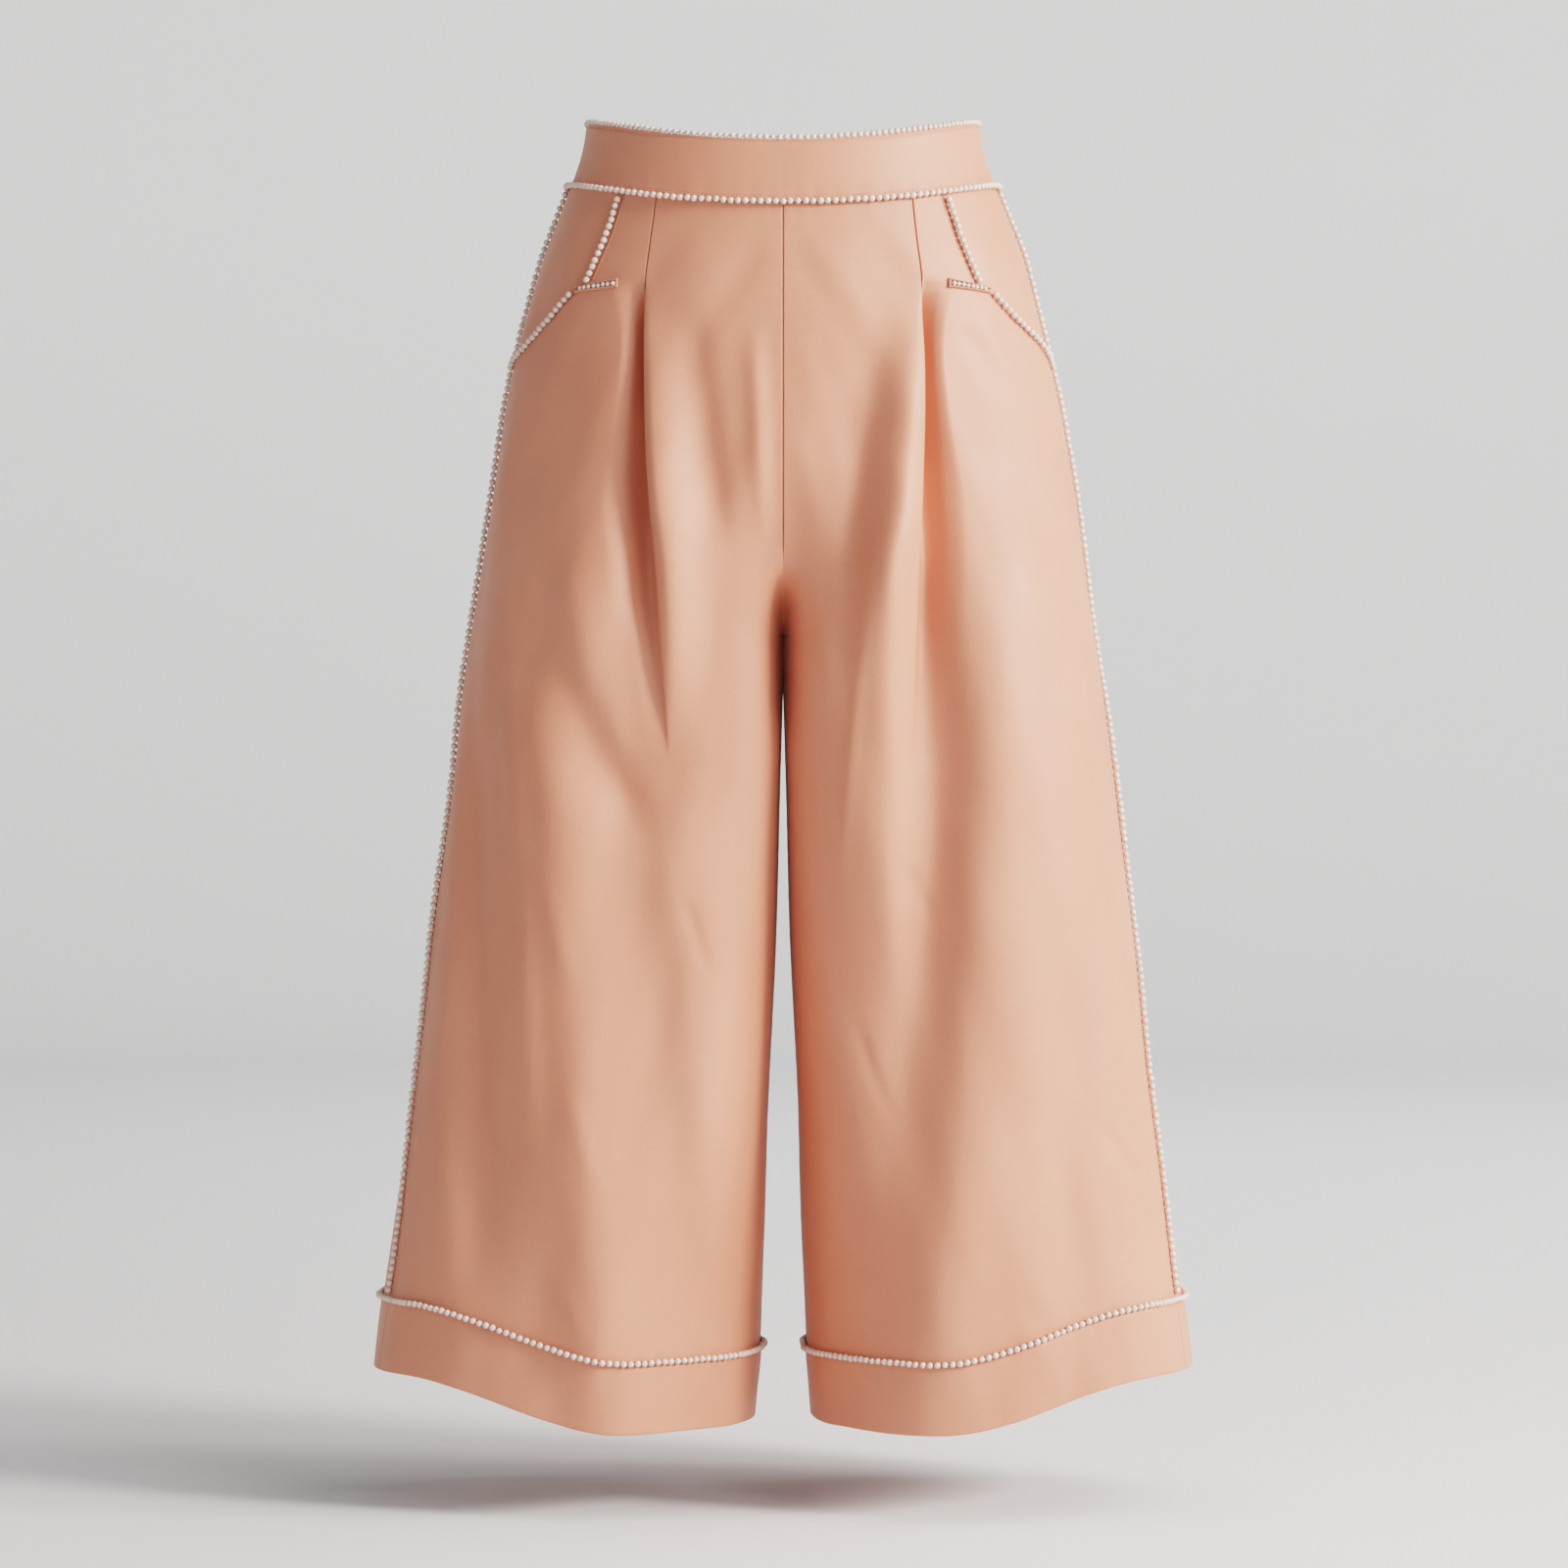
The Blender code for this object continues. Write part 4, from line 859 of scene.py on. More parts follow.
welt_rows = [(-below, lift) for below, lift in WELT_SECTION[::-1]] + [*WELT_SECTION, *WELT_INSIDE]
for side in SIDES:
    points = np.array([
        [welt_point(side, share, below / 1000, lift / 1000) for share in np.linspace(0.0, 1.0, WELT_COLUMNS)]
        for below, lift in welt_rows
    ])
    length = np.linalg.norm(points[0, 0] - points[0, -1])
    down = np.linspace(0.0, WELT_HEIGHT, len(welt_rows))
    threads = np.meshgrid(np.linspace(0.0, length, WELT_COLUMNS), down)
    welt = add_cloth(f"welt_{side}", points, np.stack(threads, axis=-1), peach_crepe, turned=side == "left")
    fasten(
        welt, f"pocket_welt_{side}",
        flat=(0.028, 0.0112), held="folded", rests_on=[f"front_panel_{side}"], area=0.00018,
    )

# ---- Waistband ----
# Doubled crepe, folded at the top edge and topstitched along both edges: one piece round the front and two at
# the back that end at the zip.

BAND_WALL = 0.0019  # two layers of cloth and their stiffening
BAND_COLUMNS = 200
BAND_ROWS = 22
FOLD_STEPS = 8  # round the folded edge
BAND_RIDGE = 0.0007  # the stitched ridge just above the waist seam
BAND_RIDGE_DROP = -0.0034
BAND_RIDGE_WIDTH = 0.0011
BAND_STITCHES = (BAND_TOP + 0.0018, -0.0036)  # drops of its two lines of topstitching
STITCH_GROOVE = 0.0007  # how deep the thread pulls the cloth in
STITCH_PULL = 0.0006  # to either side
STITCH_ROWS = (-1.6, -0.8, 0.0, 0.8, 1.6)  # from a line of stitches to the rows beside it, in pulls
BAND_SLACK = 0.00025  # the height of the band's slow waves
BAND_SLACK_LENGTH = 0.031  # and their length, over 2 pi
BAND_SLACK_GROWS = 0.02  # from nothing at the waist seam
BAND_PUCKER = 1.2  # height of the puckers above the waist seam, as a share of a panel's


def folded_section(seam, fold, rows, lines=()):
    """Rows of a doubled band: down its face from the seam, round the fold and back up its inside.

    Each line of stitches gets rows of its own.
    """
    radius = BAND_WALL / 2
    way = 1 if fold > seam else -1
    face = from_edge(seam, fold - way * radius, rows)
    near = [line + step * STITCH_PULL for line in lines for step in STITCH_ROWS]
    face = way * np.unique(np.round(way * np.concatenate([face, near]), 6))
    section = [(drop, seam_roll(abs(drop - seam))) for drop in face]
    for turn in np.linspace(0.0, math.pi, FOLD_STEPS + 1)[1:]:
        section.append((fold - way * radius * (1 - math.sin(turn)), radius * (math.cos(turn) - 1)))
    inside = np.linspace(fold - way * radius, seam, rows // 2)[1:]
    return section + [(drop, -BAND_WALL) for drop in inside]


def band_sheet(side, section, place_row, face_lift):
    """Points and threads of a band, one ring to each row of its section. Its inside stays plain."""
    rings = [Ring(side, drop, half_seam=0.0) for drop, lift in section]
    places = [place_row(ring) for ring in rings]
    lifts = [
        lift + (face_lift(ring, row) if lift > -BAND_WALL / 2 else np.zeros_like(row))
        for ring, row, (drop, lift) in zip(rings, places, section)
    ]
    return cloth_rows(rings, places, lifts)


def waist_lift(ring, along):
    """The stitched ridge, the grooves of the stitches and the puckers above the waist seam."""
    ridge = BAND_RIDGE * math.exp(-(((ring.drop - BAND_RIDGE_DROP) / BAND_RIDGE_WIDTH) ** 2))
    pulls = [math.exp(-(((ring.drop - line) / STITCH_PULL) ** 2)) for line in BAND_STITCHES]
    ridge -= STITCH_GROOVE * sum(pulls)
    slack = np.sin(along / BAND_SLACK_LENGTH + 1.3 * ring.side_seam) * ease(-ring.drop / BAND_SLACK_GROWS)
    return ridge + BAND_SLACK * slack + pucker(along, abs(ring.drop)) * BAND_PUCKER


def front_half(ring):
    return np.linspace(0.0, ring.side_seam - SEAM_GAP / 2, BAND_COLUMNS)


def back_half(ring):
    return np.linspace(ring.side_seam + SEAM_GAP / 2, ring.back_seam - ZIP_OPENING, BAND_COLUMNS // 2)


waist_section = folded_section(-SEAM_GAP / 2, BAND_TOP, BAND_ROWS, BAND_STITCHES)
left, right = (band_sheet(side, waist_section, front_half, waist_lift) for side in SIDES)
points = np.concatenate([right[0][:, :0:-1], left[0]], axis=1)
threads = np.concatenate([right[1][:, :0:-1] * (-1, 1), left[1]], axis=1)
band_front = add_cloth("band_front", points, threads, peach_crepe, turned=True)
fasten(band_front, "waistband_front", flat=(0.36, 0.042), held="hung")
for side in SIDES:
    sheet = band_sheet(side, waist_section, back_half, waist_lift)
    band_back = add_cloth(f"band_back_{side}", *sheet, peach_crepe, turned=side == "left")
    fasten(band_back, f"waistband_back_{side}", flat=(0.175, 0.042), held="hung")

# ---- Hem bands ----
# Each leg ends in a doubled band, folded at the bottom and sewn on so that it stands a little proud of the
# panels. Its front and back pieces meet at the side and the inside leg.

HEM_PROUD = 0.0010
HEM_RISE = 0.003  # below the hem seam, where it stands fully proud
HEM_SLACK = 0.0005  # the height of its slow waves
HEM_SLACK_LENGTHS = (0.024, 0.03)  # and their lengths round and down, over 2 pi
HEM_PUCKER = 1.6
HEM_COLUMNS = 150
HEM_ROWS = 20
# Each piece's ends, as the seams that it runs between, and its cut width
HemPiece = namedtuple("HemPiece", "ends width")
HEM_PIECES = {
    "front": HemPiece(lambda ring: (SEAM_GAP / 2, ring.side_seam - SEAM_GAP / 2), 0.336),
    "back": HemPiece(lambda ring: (ring.side_seam + SEAM_GAP / 2, ring.back_seam - SEAM_GAP / 2), 0.425),
}

hem_section = folded_section(HEM_SEAM + SEAM_GAP / 2, HEM_SEAM + HEM_BAND, HEM_ROWS)
for side in SIDES:
    for name, piece in HEM_PIECES.items():

        def hem_places(ring):
            first, last = piece.ends(ring)
            near_first, near_last = (
                from_edge(end, (first + last) / 2, HEM_COLUMNS // 2) for end in (first, last)
            )
            return np.concatenate([near_first, near_last[-2::-1]])

        def hem_lift(ring, along):
            first, last = piece.ends(ring)
            down = ring.drop - HEM_SEAM
            turns = along / HEM_SLACK_LENGTHS[0] + down / HEM_SLACK_LENGTHS[1] + SIDES[ring.side]
            slack = HEM_SLACK * np.sin(turns) * ease(down / HEM_BAND)
            proud = HEM_PROUD * ease(down / HEM_RISE) + slack + pucker(along, down) * HEM_PUCKER
            return proud + seam_roll(along - first) + seam_roll(last - along)

        sheet = band_sheet(side, hem_section, hem_places, hem_lift)
        band = add_cloth(f"hem_band_{name}_{side}", *sheet, peach_crepe, turned=side == "right")
        fasten(
            band, f"hem_{name}_{side}",
            flat=(piece.width, HEM_BAND), held="hung", rests_on=[f"{name}_panel_{side}"],
        )

# ---- Bead strands ----
# Round imitation pearls on a thread, sewn down one against the next: along the top edge, the waist seam, the
# side seams, the hem seams, the pocket mouths and the welts. Those of the top edge and the welts are smaller.

BEAD = 0.0042
SMALL_BEAD = 0.0038
TINY_BEAD = 0.0030
BEAD_SIDES = 12
BEAD_ROWS = 8
BEAD_POLE = 0.93  # how far out its poles lie, which are drawn in by the hole
BEAD_SPACE = 1.10  # the distance between beads' middles, in their diameters
BEAD_LIFT = 0.0005 + BEAD / 2
BEAD_UNEVEN = 0.03  # the spread of their sizes, as a share
BEAD_SHIFT = 0.00012  # and of their places
BEAD_LIMIT = 1.5  # spreads, past which no size goes
BEAD_AIM = 0.001  # to either side of a bead, the distance over which its direction is taken
SIDE_LIFT = 0.0018  # of the side strands, which sit down in the seam
MOUTH_LIFT = BEAD_LIFT - 0.0006  # of the pocket mouths' strands
SEWN_LIFT = 0.0004  # between the smaller beads and the cloth
THREAD_RADIUS = 0.0004
THREAD_SIDES = 6
BACK_OPENING = 0.0030  # half the space that the strands leave at the zip
ROUND_STEPS = 900  # points round half the waist or a hem, from which the beads' places are read
SEAM_STEP = 0.002  # the drop between such points down a seam
MOUTH_STRANDS = {"upper": (0.0052, 0.0618), "lower": (0.0715, 0.1155)}  # drops of their ends
WELT_STRAND = (0.16, 0.90)  # its ends, as shares of the welt
SKEW = (0.13, 0.21, 0.97)  # a direction that no strand or thread follows

# Imitation pearl: a glass core under milky, slightly pink lacquer. The lacquer gives it a clear gloss over a
# soft glow, and each bead is a little warmer or cooler than the next. Its colour is painted darker towards
# its outline as the camera sees it: painted shade at its rim.
TINT_PATCH = 0.0059  # wider than a bead
HAZE_GRAIN = 0.0011  # of the faint unevenness of the gloss

pearl, pearl_shader = new_material("lacquered_pearl")
pearl_place = add_node(pearl, "TexCoord").outputs["Object"]
bead_tint = add_node(pearl, "TexNoise", _0=pearl_place, Scale=1 / TINT_PATCH, Detail=1.0)
# Painted shade: the bead's colour turns darker where its face turns away from the camera
bead_rim_shade = add_node(pearl, "LayerWeight", Blend=0.35)
bead_body = add_node(
    pearl, "Mix", data_type="RGBA",
    Factor=bead_tint.outputs["Fac"], _6=linear("#efdccf"), _7=linear("#e2cdc4"),
)
bead_colour = add_node(
    pearl, "Mix", data_type="RGBA",
    Factor=bead_rim_shade.outputs["Facing"], _6=bead_body.outputs[2], _7=linear("#cfae9f"),
)
bead_haze = add_node(pearl, "TexNoise", _0=pearl_place, Scale=1 / HAZE_GRAIN, Detail=2.0)
bead_roughness = add_node(pearl, "MapRange", Value=bead_haze.outputs["Fac"], To_Min=0.14, To_Max=0.28)
set_inputs(
    pearl_shader, Base_Color=bead_colour.outputs[2], Roughness=bead_roughness.outputs["Result"],
    Coat_Weight=0.6, Coat_Roughness=0.08, Subsurface_Weight=0.15, Subsurface_Radius=(0.002, 0.0015, 0.0012),
)

# Polyester sewing thread dyed to match, twisted from two plies that show as a slanting rib. The grooves
# between the plies are painted darker than their crowns: painted shade.
PLY_SPACING = 0.00035

matched_thread, thread_shader = new_material("peach_sewing_thread")
thread_place = add_node(matched_thread, "TexCoord").outputs["Object"]
plies = add_node(
    matched_thread, "TexWave", bands_direction="DIAGONAL",
    _0=thread_place, Scale=WAVE_LENGTH / PLY_SPACING, Distortion=0.6,
)
# Painted shade: the grooves between the plies are coloured darker than their crowns
thread_colour = add_node(
    matched_thread, "Mix", data_type="RGBA",
    Factor=plies.outputs["Fac"], _6=linear("#d08f78"), _7=linear("#e8b29c"),
)
ply_bump = add_node(matched_thread, "Bump", Strength=0.3, Distance=0.0001, Height=plies.outputs["Fac"])
set_inputs(
    thread_shader, Base_Color=thread_colour.outputs[2], Normal=ply_bump.outputs["Normal"],
    Roughness=0.45, Sheen_Weight=0.2,
)


def spaced_out(path, spacing, closed=False):
    """Points at equal distances along a path, near this spacing, with the path's direction at each."""
    if closed:
        path = np.concatenate([path, path[:1]])
    along = length_along(path)
    count = max(2, round(along[-1] / spacing) + (0 if closed else 1))
    places = np.linspace(0.0, along[-1], count, endpoint=not closed)
    ahead = np.minimum(places + BEAD_AIM, along[-1])
    behind = np.maximum(places - BEAD_AIM, 0.0)
    way = read_path(ahead, along, path) - read_path(behind, along, path)
    return read_path(places, along, path), way / np.linalg.norm(way, axis=-1, keepdims=True)


def square_to(ways):
    """Two directions square to each of these and to each other."""
    across = np.cross(ways, SKEW)
    across /= np.linalg.norm(across, axis=-1, keepdims=True)
    return across, np.cross(ways, across)


def join_parts(name, parts, node=None, slot="cloth"):
    """One piece of the garment from (points, faces, material) parts."""
    points, faces, kinds, materials = [], [], [], []
    start = 0
    for part_points, part_faces, material in parts:
        if material not in materials:
            materials.append(material)
        points.append(part_points)
        faces.extend((np.array(face) + start).tolist() for face in part_faces)
        kinds.extend([materials.index(material)] * len(part_faces))
        start += len(part_points)
    piece = add_mesh(name, np.concatenate(points), faces, materials)
    piece.data.polygons.foreach_set("material_index", kinds)
    fasten(piece, node, slot)


def bar_faces(rings, sides):
    """The faces of a solid through rings of points, seen from outside."""
    return [[face[0], *face[:0:-1]] for face in ring_faces(rings, sides)]


def bead_shape(size):
    """One bead round its hole, which runs along X. Its poles are drawn in a little, where the hole is."""
    turns = 2 * math.pi * np.arange(BEAD_SIDES) / BEAD_SIDES
    points = []
    for turn in math.pi * np.arange(1, BEAD_ROWS) / BEAD_ROWS:
        out = math.sin(turn)
        points += [(math.cos(turn), out * math.cos(side), out * math.sin(side)) for side in turns]
    pole, low = len(points), (BEAD_ROWS - 2) * BEAD_SIDES
    faces = bar_faces(BEAD_ROWS - 1, BEAD_SIDES)
    for side in range(BEAD_SIDES):
        after = (side + 1) % BEAD_SIDES
        faces += [[pole, side, after], [low + after, low + side, pole + 1]]
    return np.array([*points, (BEAD_POLE, 0, 0), (-BEAD_POLE, 0, 0)]) * size / 2, faces


def tube(path, radius, sides=THREAD_SIDES, closed=False):
    """Points and faces of a round thread along a path."""
    way = np.roll(path, -1, axis=0) - np.roll(path, 1, axis=0) if closed else np.gradient(path, axis=0)
    across, over = square_to(way / np.linalg.norm(way, axis=-1, keepdims=True))
    turns = 2 * math.pi * np.arange(sides)[:, None] / sides
    rims = radius * (across[:, None] * np.cos(turns) + over[:, None] * np.sin(turns))
    return (path[:, None] + rims).reshape(-1, 3), ring_faces(len(path), sides, closed)


def add_beads(name, path, size, closed=False):
    """A strand of beads on its thread, sewn along a path."""
    places, ways = spaced_out(path, size * BEAD_SPACE, closed)
    shape, shape_faces = bead_shape(size)
    uneven = np.random.default_rng(len(places))
    sizes = 1 + BEAD_UNEVEN * uneven.standard_normal(len(places)).clip(-BEAD_LIMIT, BEAD_LIMIT)
    places = places + BEAD_SHIFT * uneven.standard_normal((len(places), 3))
    frames = np.stack([ways, *square_to(ways)], axis=1) * sizes[:, None, None]
    beads = np.einsum("pk,bkx->bpx", shape, frames) + places[:, None]
    parts = [(points, shape_faces, pearl) for points in beads]
    parts.append((*tube(places, THREAD_RADIUS, closed=closed), matched_thread))
    join_parts(f"pearls_{name}", parts, f"beads_{name}", "pearl")


def round_waist(drop, lift):
    """From the zip's left edge round the front to its right edge."""
    halves = []
    for side in SIDES:
        ring = Ring(side, drop, half_seam=0.0)
        halves.append(ring.at(np.linspace(0.0, ring.back_seam - BACK_OPENING, ROUND_STEPS), lift))
    left, right = halves
    return np.concatenate([left[:0:-1], right])


def down_seam(side, first, last, place, lift):
    """Points down one leg. Place says how far round each ring they lie."""
    rings = [Ring(side, drop) for drop in np.arange(first, last, SEAM_STEP)]
    return np.array([ring.at(place(ring), lift) for ring in rings])


top_drop = BAND_TOP + SEWN_LIFT - SMALL_BEAD / 2
add_beads("waist_top", round_waist(top_drop, SEWN_LIFT - BAND_WALL / 2), SMALL_BEAD)
add_beads("waist_seam", round_waist(0.0, BEAD_LIFT), BEAD)
for side in SIDES:
    path = down_seam(side, BEAD, HEM_SEAM - BEAD, lambda ring: ring.side_seam, SIDE_LIFT)
    add_beads(f"side_{side}", path, BEAD)
    ring = Ring(side, HEM_SEAM)
    path = ring.at(np.linspace(0.0, ring.back_seam, ROUND_STEPS), BEAD_LIFT)
    add_beads(f"hem_{side}", path, BEAD, closed=True)
    for name, ends in MOUTH_STRANDS.items():
        path = down_seam(side, *ends, lambda ring: mouth_place(ring) + BEAD / 2, MOUTH_LIFT)
        add_beads(f"pocket_{name}_{side}", path, BEAD)
    shares = np.linspace(*WELT_STRAND, 40)
    path = [welt_point(side, share, 0.0, SEWN_LIFT + TINY_BEAD / 2) for share in shares]
    add_beads(f"welt_{side}", np.array(path), TINY_BEAD)

# ---- Stitches ----
# Lockstitch in the matched polyester thread: along the waistband's edges, the pocket mouths, the welts and
# both sides of the zip. Closer bars of the same thread tack down the welts' inner ends and the zip's foot.

STITCH = 0.0023
STITCH_SPACE = 0.0005  # between one stitch and the next
STITCH_START = 0.0002  # from the end of its line to the first stitch
STITCH_RADIUS = 0.00023
STITCH_SIDES = 5
STITCH_SHAPE = ((0.0, -0.7), (0.16, 0.7), (0.84, 0.7), (1.0, -0.7))  # share along, height in thread radii
FROM_MOUTH = 0.0014  # from a pocket mouth's edge to its stitches
FROM_ZIP = 0.0062
MOUTH_LINES = ((0.002, 0.0605), (0.0715, 0.1165))  # drops of their ends
ZIP_FOOT = ZIP_ENDS + 0.006
ZIP_LINES = ((BAND_TOP + 0.002, -0.001), (0.001, ZIP_FOOT))
WELT_LINES = (-0.0022, 0.0022)  # how far below the welt's middle
WELT_LIP = 0.0022  # how far they lie off the panel
WELT_SHARES = np.linspace(0.03, 0.96, 24)  # their points, as shares of the welt
WELT_BAR = 0.975  # where the bar lies, as such a share
WELT_BAR_HALF = 0.0028
WELT_BAR_LIFT = 0.0012
BAR_THREADS = 14
BAR_SHAPE = ((-0.0008, -0.0002), (-0.0005, 0.0003), (0.0005, 0.0003), (0.0008, -0.0002))  # across and up


def stitches(path):
    """The stitches along a line of the cloth. Path gives the line at a height above the cloth's face."""
    low, high = np.array(path(0.0)), np.array(path(STITCH_RADIUS))
    along = length_along(low)
    parts = []
    for start in np.arange(STITCH_START, along[-1] - STITCH, STITCH + STITCH_SPACE):
        points = []
        for share, height in STITCH_SHAPE:
            here, above = (read_path(start + share * STITCH, along, line) for line in (low, high))
            points.append(here + (above - here) * height)
        parts.append((*tube(np.array(points), STITCH_RADIUS, STITCH_SIDES), matched_thread))
    return parts


def bar(start, end, over):
    """A short satin bar: threads laid side by side from one point to another, each across the bar."""
    across = np.cross((end - start) / np.linalg.norm(end - start), over)
    parts = []
    for middle in start + (end - start) * np.linspace(0.0, 1.0, BAR_THREADS)[:, None]:
        points = np.array([middle + across * aside + over * up for aside, up in BAR_SHAPE])
        parts.append((*tube(points, STITCH_RADIUS, STITCH_SIDES), matched_thread))
    return parts


def band_line(drop, lift):
    """Stitches round the waistband."""
    return stitches(lambda height: round_waist(drop, lift + height))


def seam_line(side, ends, place):
    """Stitches down one leg, between two drops."""
    return stitches(lambda height: down_seam(side, *ends, place, height))


def zip_line(ring):
    return ring.back_seam - FROM_ZIP


join_parts(
    "stitches_waistband",
    band_line(BAND_STITCHES[0], -STITCH_GROOVE) + band_line(BAND_STITCHES[1], BAND_RIDGE - STITCH_GROOVE),
)
for side in SIDES:
    parts = []
    for ends in MOUTH_LINES:
        parts += seam_line(side, ends, lambda ring: mouth_place(ring) - FROM_MOUTH)
    for below in WELT_LINES:
        parts += stitches(
            lambda height: [welt_point(side, share, below, WELT_LIP + height) for share in WELT_SHARES]
        )
    ends = [welt_point(side, WELT_BAR, below, WELT_BAR_LIFT) for below in (-WELT_BAR_HALF, WELT_BAR_HALF)]
    over = welt_point(side, WELT_BAR + 0.01, 0.0, 0.001) - welt_point(side, WELT_BAR + 0.01, 0.0, 0.0)
    join_parts(f"stitches_pocket_{side}", parts + bar(*ends, over / np.linalg.norm(over)))

parts = []
for side in SIDES:
    for ends in ZIP_LINES:
        parts += seam_line(side, ends, zip_line)
foot_rings = [Ring(side, ZIP_FOOT) for side in SIDES]
backward = np.array((0.0, 1.0, 0.0))
parts += bar(*[ring.at(zip_line(ring), 0.0) for ring in foot_rings], backward)
join_parts("stitches_zip", parts)

# ---- Zip ----
# A closed coil zip behind the centre back slot: a woven polyester tape, two rows of nylon coil that mesh down
# the middle, and the frame's own slider and pull in metal lacquered to match the cloth.

TAPE_HALF = 0.0110
TAPE_WALL = 0.0008
TAPE_ENDS = (-0.0360, 0.1180)  # its drops at the top and the foot
TAPE_GAP = 0.0003  # between it and the walls it is sewn to
TAPE_COLUMNS = 13
TAPE_ROWS = 78
COIL_PITCH = 0.0011
COIL_ENDS = (-0.0335, 0.1130)
COIL_TOOTH = (0.0015, 0.00036, 0.00045)  # half sizes: across, down and out of the tape
COIL_ASIDE = 0.0007  # how far a tooth lies from the middle, on its own tape's side
COIL_SUNK = 0.6  # how far out of the tape a tooth's middle lies, in its own half height
COIL_BLUNT = 0.15  # the girth of a tooth's ends, as a share of its middle's
COIL_SIDES = 8
COIL_ROWS = 5
COIL_AIM = 0.001  # how far down the tape a tooth's direction is taken
SOFTENED_EDGES = {"zip_slider": 0.0004, "zip_pull": 0.0003}  # how wide the metal's edges are rounded
SHARP_EDGE = math.radians(35)  # the least turn at an edge that is rounded

# Woven polyester zip tape, dyed close to the crepe but duller. A slanting weave of fine ribs covers it, with
# the grooves between the ribs painted darker than their crowns: painted shade.
RIB_SPACING = 0.00035

zip_tape, tape_shader = new_material("woven_zip_tape")
tape_place = add_node(zip_tape, "UVMap").outputs["UV"]
ribs = add_node(
    zip_tape, "TexWave", bands_direction="DIAGONAL",
    _0=tape_place, Scale=WAVE_LENGTH / RIB_SPACING, Distortion=1.2, Detail=1.0,
)
# Painted shade: the grooves between the ribs are coloured darker than their crowns
tape_colour = add_node(
    zip_tape, "Mix", data_type="RGBA", Factor=ribs.outputs["Fac"], _6=linear("#a96a55"), _7=linear("#cf917a")
)
rib_bump = add_node(zip_tape, "Bump", Strength=0.4, Distance=0.0002, Height=ribs.outputs["Fac"])
set_inputs(
    tape_shader, Base_Color=tape_colour.outputs[2], Normal=rib_bump.outputs["Normal"], Roughness=0.75
)

# Nylon coil: the same dye, smooth and a little glossy, with a faint mottle from the dyeing.
NYLON_MOTTLE = 0.0038

nylon, nylon_shader = new_material("dyed_nylon_coil")
nylon_place = add_node(nylon, "TexCoord").outputs["Object"]
mottle = add_node(nylon, "TexNoise", _0=nylon_place, Scale=1 / NYLON_MOTTLE, Detail=3.0)
nylon_colour = add_node(
    nylon, "Mix", data_type="RGBA", Factor=mottle.outputs["Fac"], _6=linear("#c98872"), _7=linear("#d99b84")
)
nylon_gloss = add_node(nylon, "MapRange", Value=mottle.outputs["Fac"], To_Min=0.28, To_Max=0.42)
set_inputs(nylon_shader, Base_Color=nylon_colour.outputs[2], Roughness=nylon_gloss.outputs["Result"])

# Lacquered zip metal: pink lacquer over zinc alloy. The lacquer is worn thin on the edges, where the metal
# shows through warm and brighter, and fine rubbed marks break up its gloss.
RUBBED_GRAIN = 0.0011

lacquer, lacquer_shader = new_material("lacquered_zip_metal")
lacquer_place = add_node(lacquer, "TexCoord").outputs["Object"]
rounded = add_node(lacquer, "Bevel", Radius=0.0004)
facing_way = add_node(lacquer, "NewGeometry")
edge_turn = add_node(
    lacquer, "VectorMath", operation="DOT_PRODUCT",
    _0=rounded.outputs["Normal"], _1=facing_way.outputs["Normal"],
)
rubbed = add_node(lacquer, "TexNoise", _0=lacquer_place, Scale=1 / RUBBED_GRAIN, Detail=4.0)
edge_wear = add_node(lacquer, "MapRange", Value=edge_turn.outputs["Value"], From_Min=0.98, From_Max=0.86)
wear = add_node(
    lacquer, "Math", operation="MULTIPLY", _0=edge_wear.outputs["Result"], _1=rubbed.outputs["Fac"]
)
lacquer_colour = add_node(
    lacquer, "Mix", data_type="RGBA", Factor=wear.outputs["Value"], _6=linear("#c98a76"), _7=linear("#e6c9b4")
)
lacquer_gloss = add_node(lacquer, "MapRange", Value=rubbed.outputs["Fac"], To_Min=0.22, To_Max=0.42)
set_inputs(
    lacquer_shader, Base_Color=lacquer_colour.outputs[2], Roughness=lacquer_gloss.outputs["Result"],
    Metallic=0.6, Coat_Weight=0.4,
)

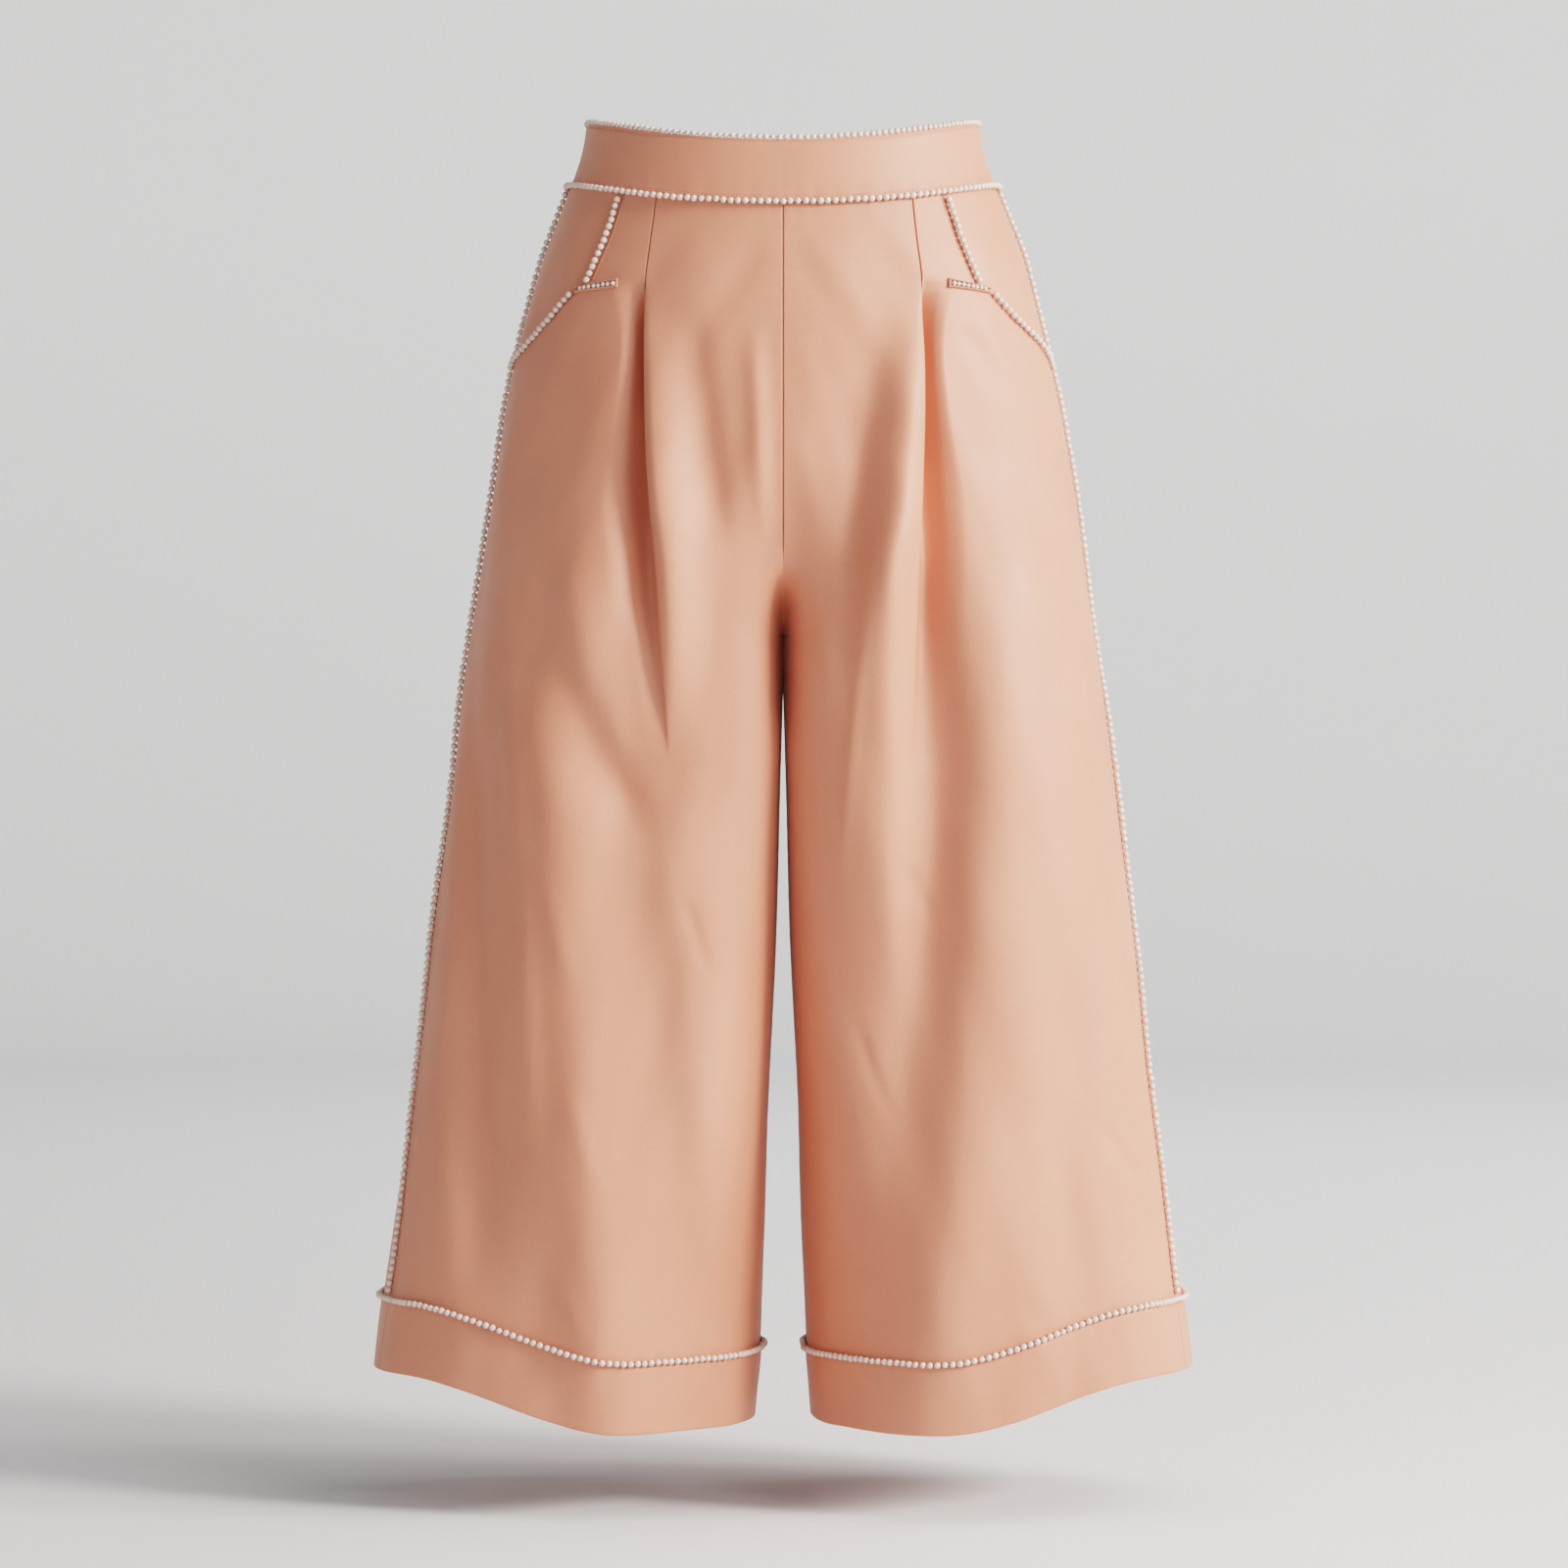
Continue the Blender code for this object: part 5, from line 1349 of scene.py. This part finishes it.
tape_lift = -BAND_WALL - TAPE_GAP
rows = []
for drop in np.linspace(*TAPE_ENDS, TAPE_ROWS):
    rings = [Ring(side, drop, half_seam=0.0) for side in SIDES]
    left, right = (
        ring.at(ring.back_seam - np.linspace(0.0, TAPE_HALF, TAPE_COLUMNS), tape_lift) for ring in rings
    )
    rows.append(np.concatenate([right[:0:-1], left]))
points = np.array(rows)
threads = np.meshgrid(
    np.linspace(-TAPE_HALF, TAPE_HALF, points.shape[1]), np.linspace(*TAPE_ENDS[::-1], TAPE_ROWS)
)
tape = add_cloth("zip_tape_woven", points, np.stack(threads, axis=-1), zip_tape, TAPE_WALL)
fasten(tape, "zip_tape", "zip_tape", flat=(2 * TAPE_HALF, TAPE_ENDS[1] - TAPE_ENDS[0]), held="hung")


def coil_tooth():
    """One loop of the coil seen from outside: a short round bar with blunt ends, lying along X."""
    turns = 2 * math.pi * np.arange(COIL_SIDES) / COIL_SIDES
    points = []
    for share in np.linspace(-1, 1, COIL_ROWS):
        girth = (1 - abs(share) ** 3) ** 0.5 * (1 - COIL_BLUNT) + COIL_BLUNT
        points += [(share, girth * math.cos(turn), girth * math.sin(turn)) for turn in turns]
    end = list(range(COIL_SIDES))
    faces = [end, [side + COIL_SIDES * (COIL_ROWS - 1) for side in end[::-1]]]
    return np.array(points) * COIL_TOOTH, faces + bar_faces(COIL_ROWS, COIL_SIDES)


tooth, tooth_faces = coil_tooth()
parts = []
for number, drop in enumerate(np.arange(*COIL_ENDS, COIL_PITCH / 2)):
    ring, below = (Ring("left", place, half_seam=0.0) for place in (drop, drop + COIL_AIM))
    down = below.at(below.back_seam, tape_lift) - ring.at(ring.back_seam, tape_lift)
    down /= np.linalg.norm(down)
    axes = np.array([(1.0, 0.0, 0.0), down, np.cross((1.0, 0.0, 0.0), down)])
    middle = ring.at(ring.back_seam, tape_lift + COIL_TOOTH[2] * COIL_SUNK)
    middle[0] += COIL_ASIDE if number % 2 else -COIL_ASIDE
    parts.append((tooth @ axes + middle, tooth_faces, nylon))
join_parts("zip_coil", parts, slot="zip_tape")

for name, softened in SOFTENED_EDGES.items():
    metal_part = bpy.data.objects[name]
    metal_part.data.materials.clear()
    metal_part.data.materials.append(lacquer)
    edge = metal_part.modifiers.new("softened_edges", "BEVEL")
    edge.width = softened
    edge.segments = 3
    edge.limit_method = "ANGLE"
    edge.angle_limit = SHARP_EDGE
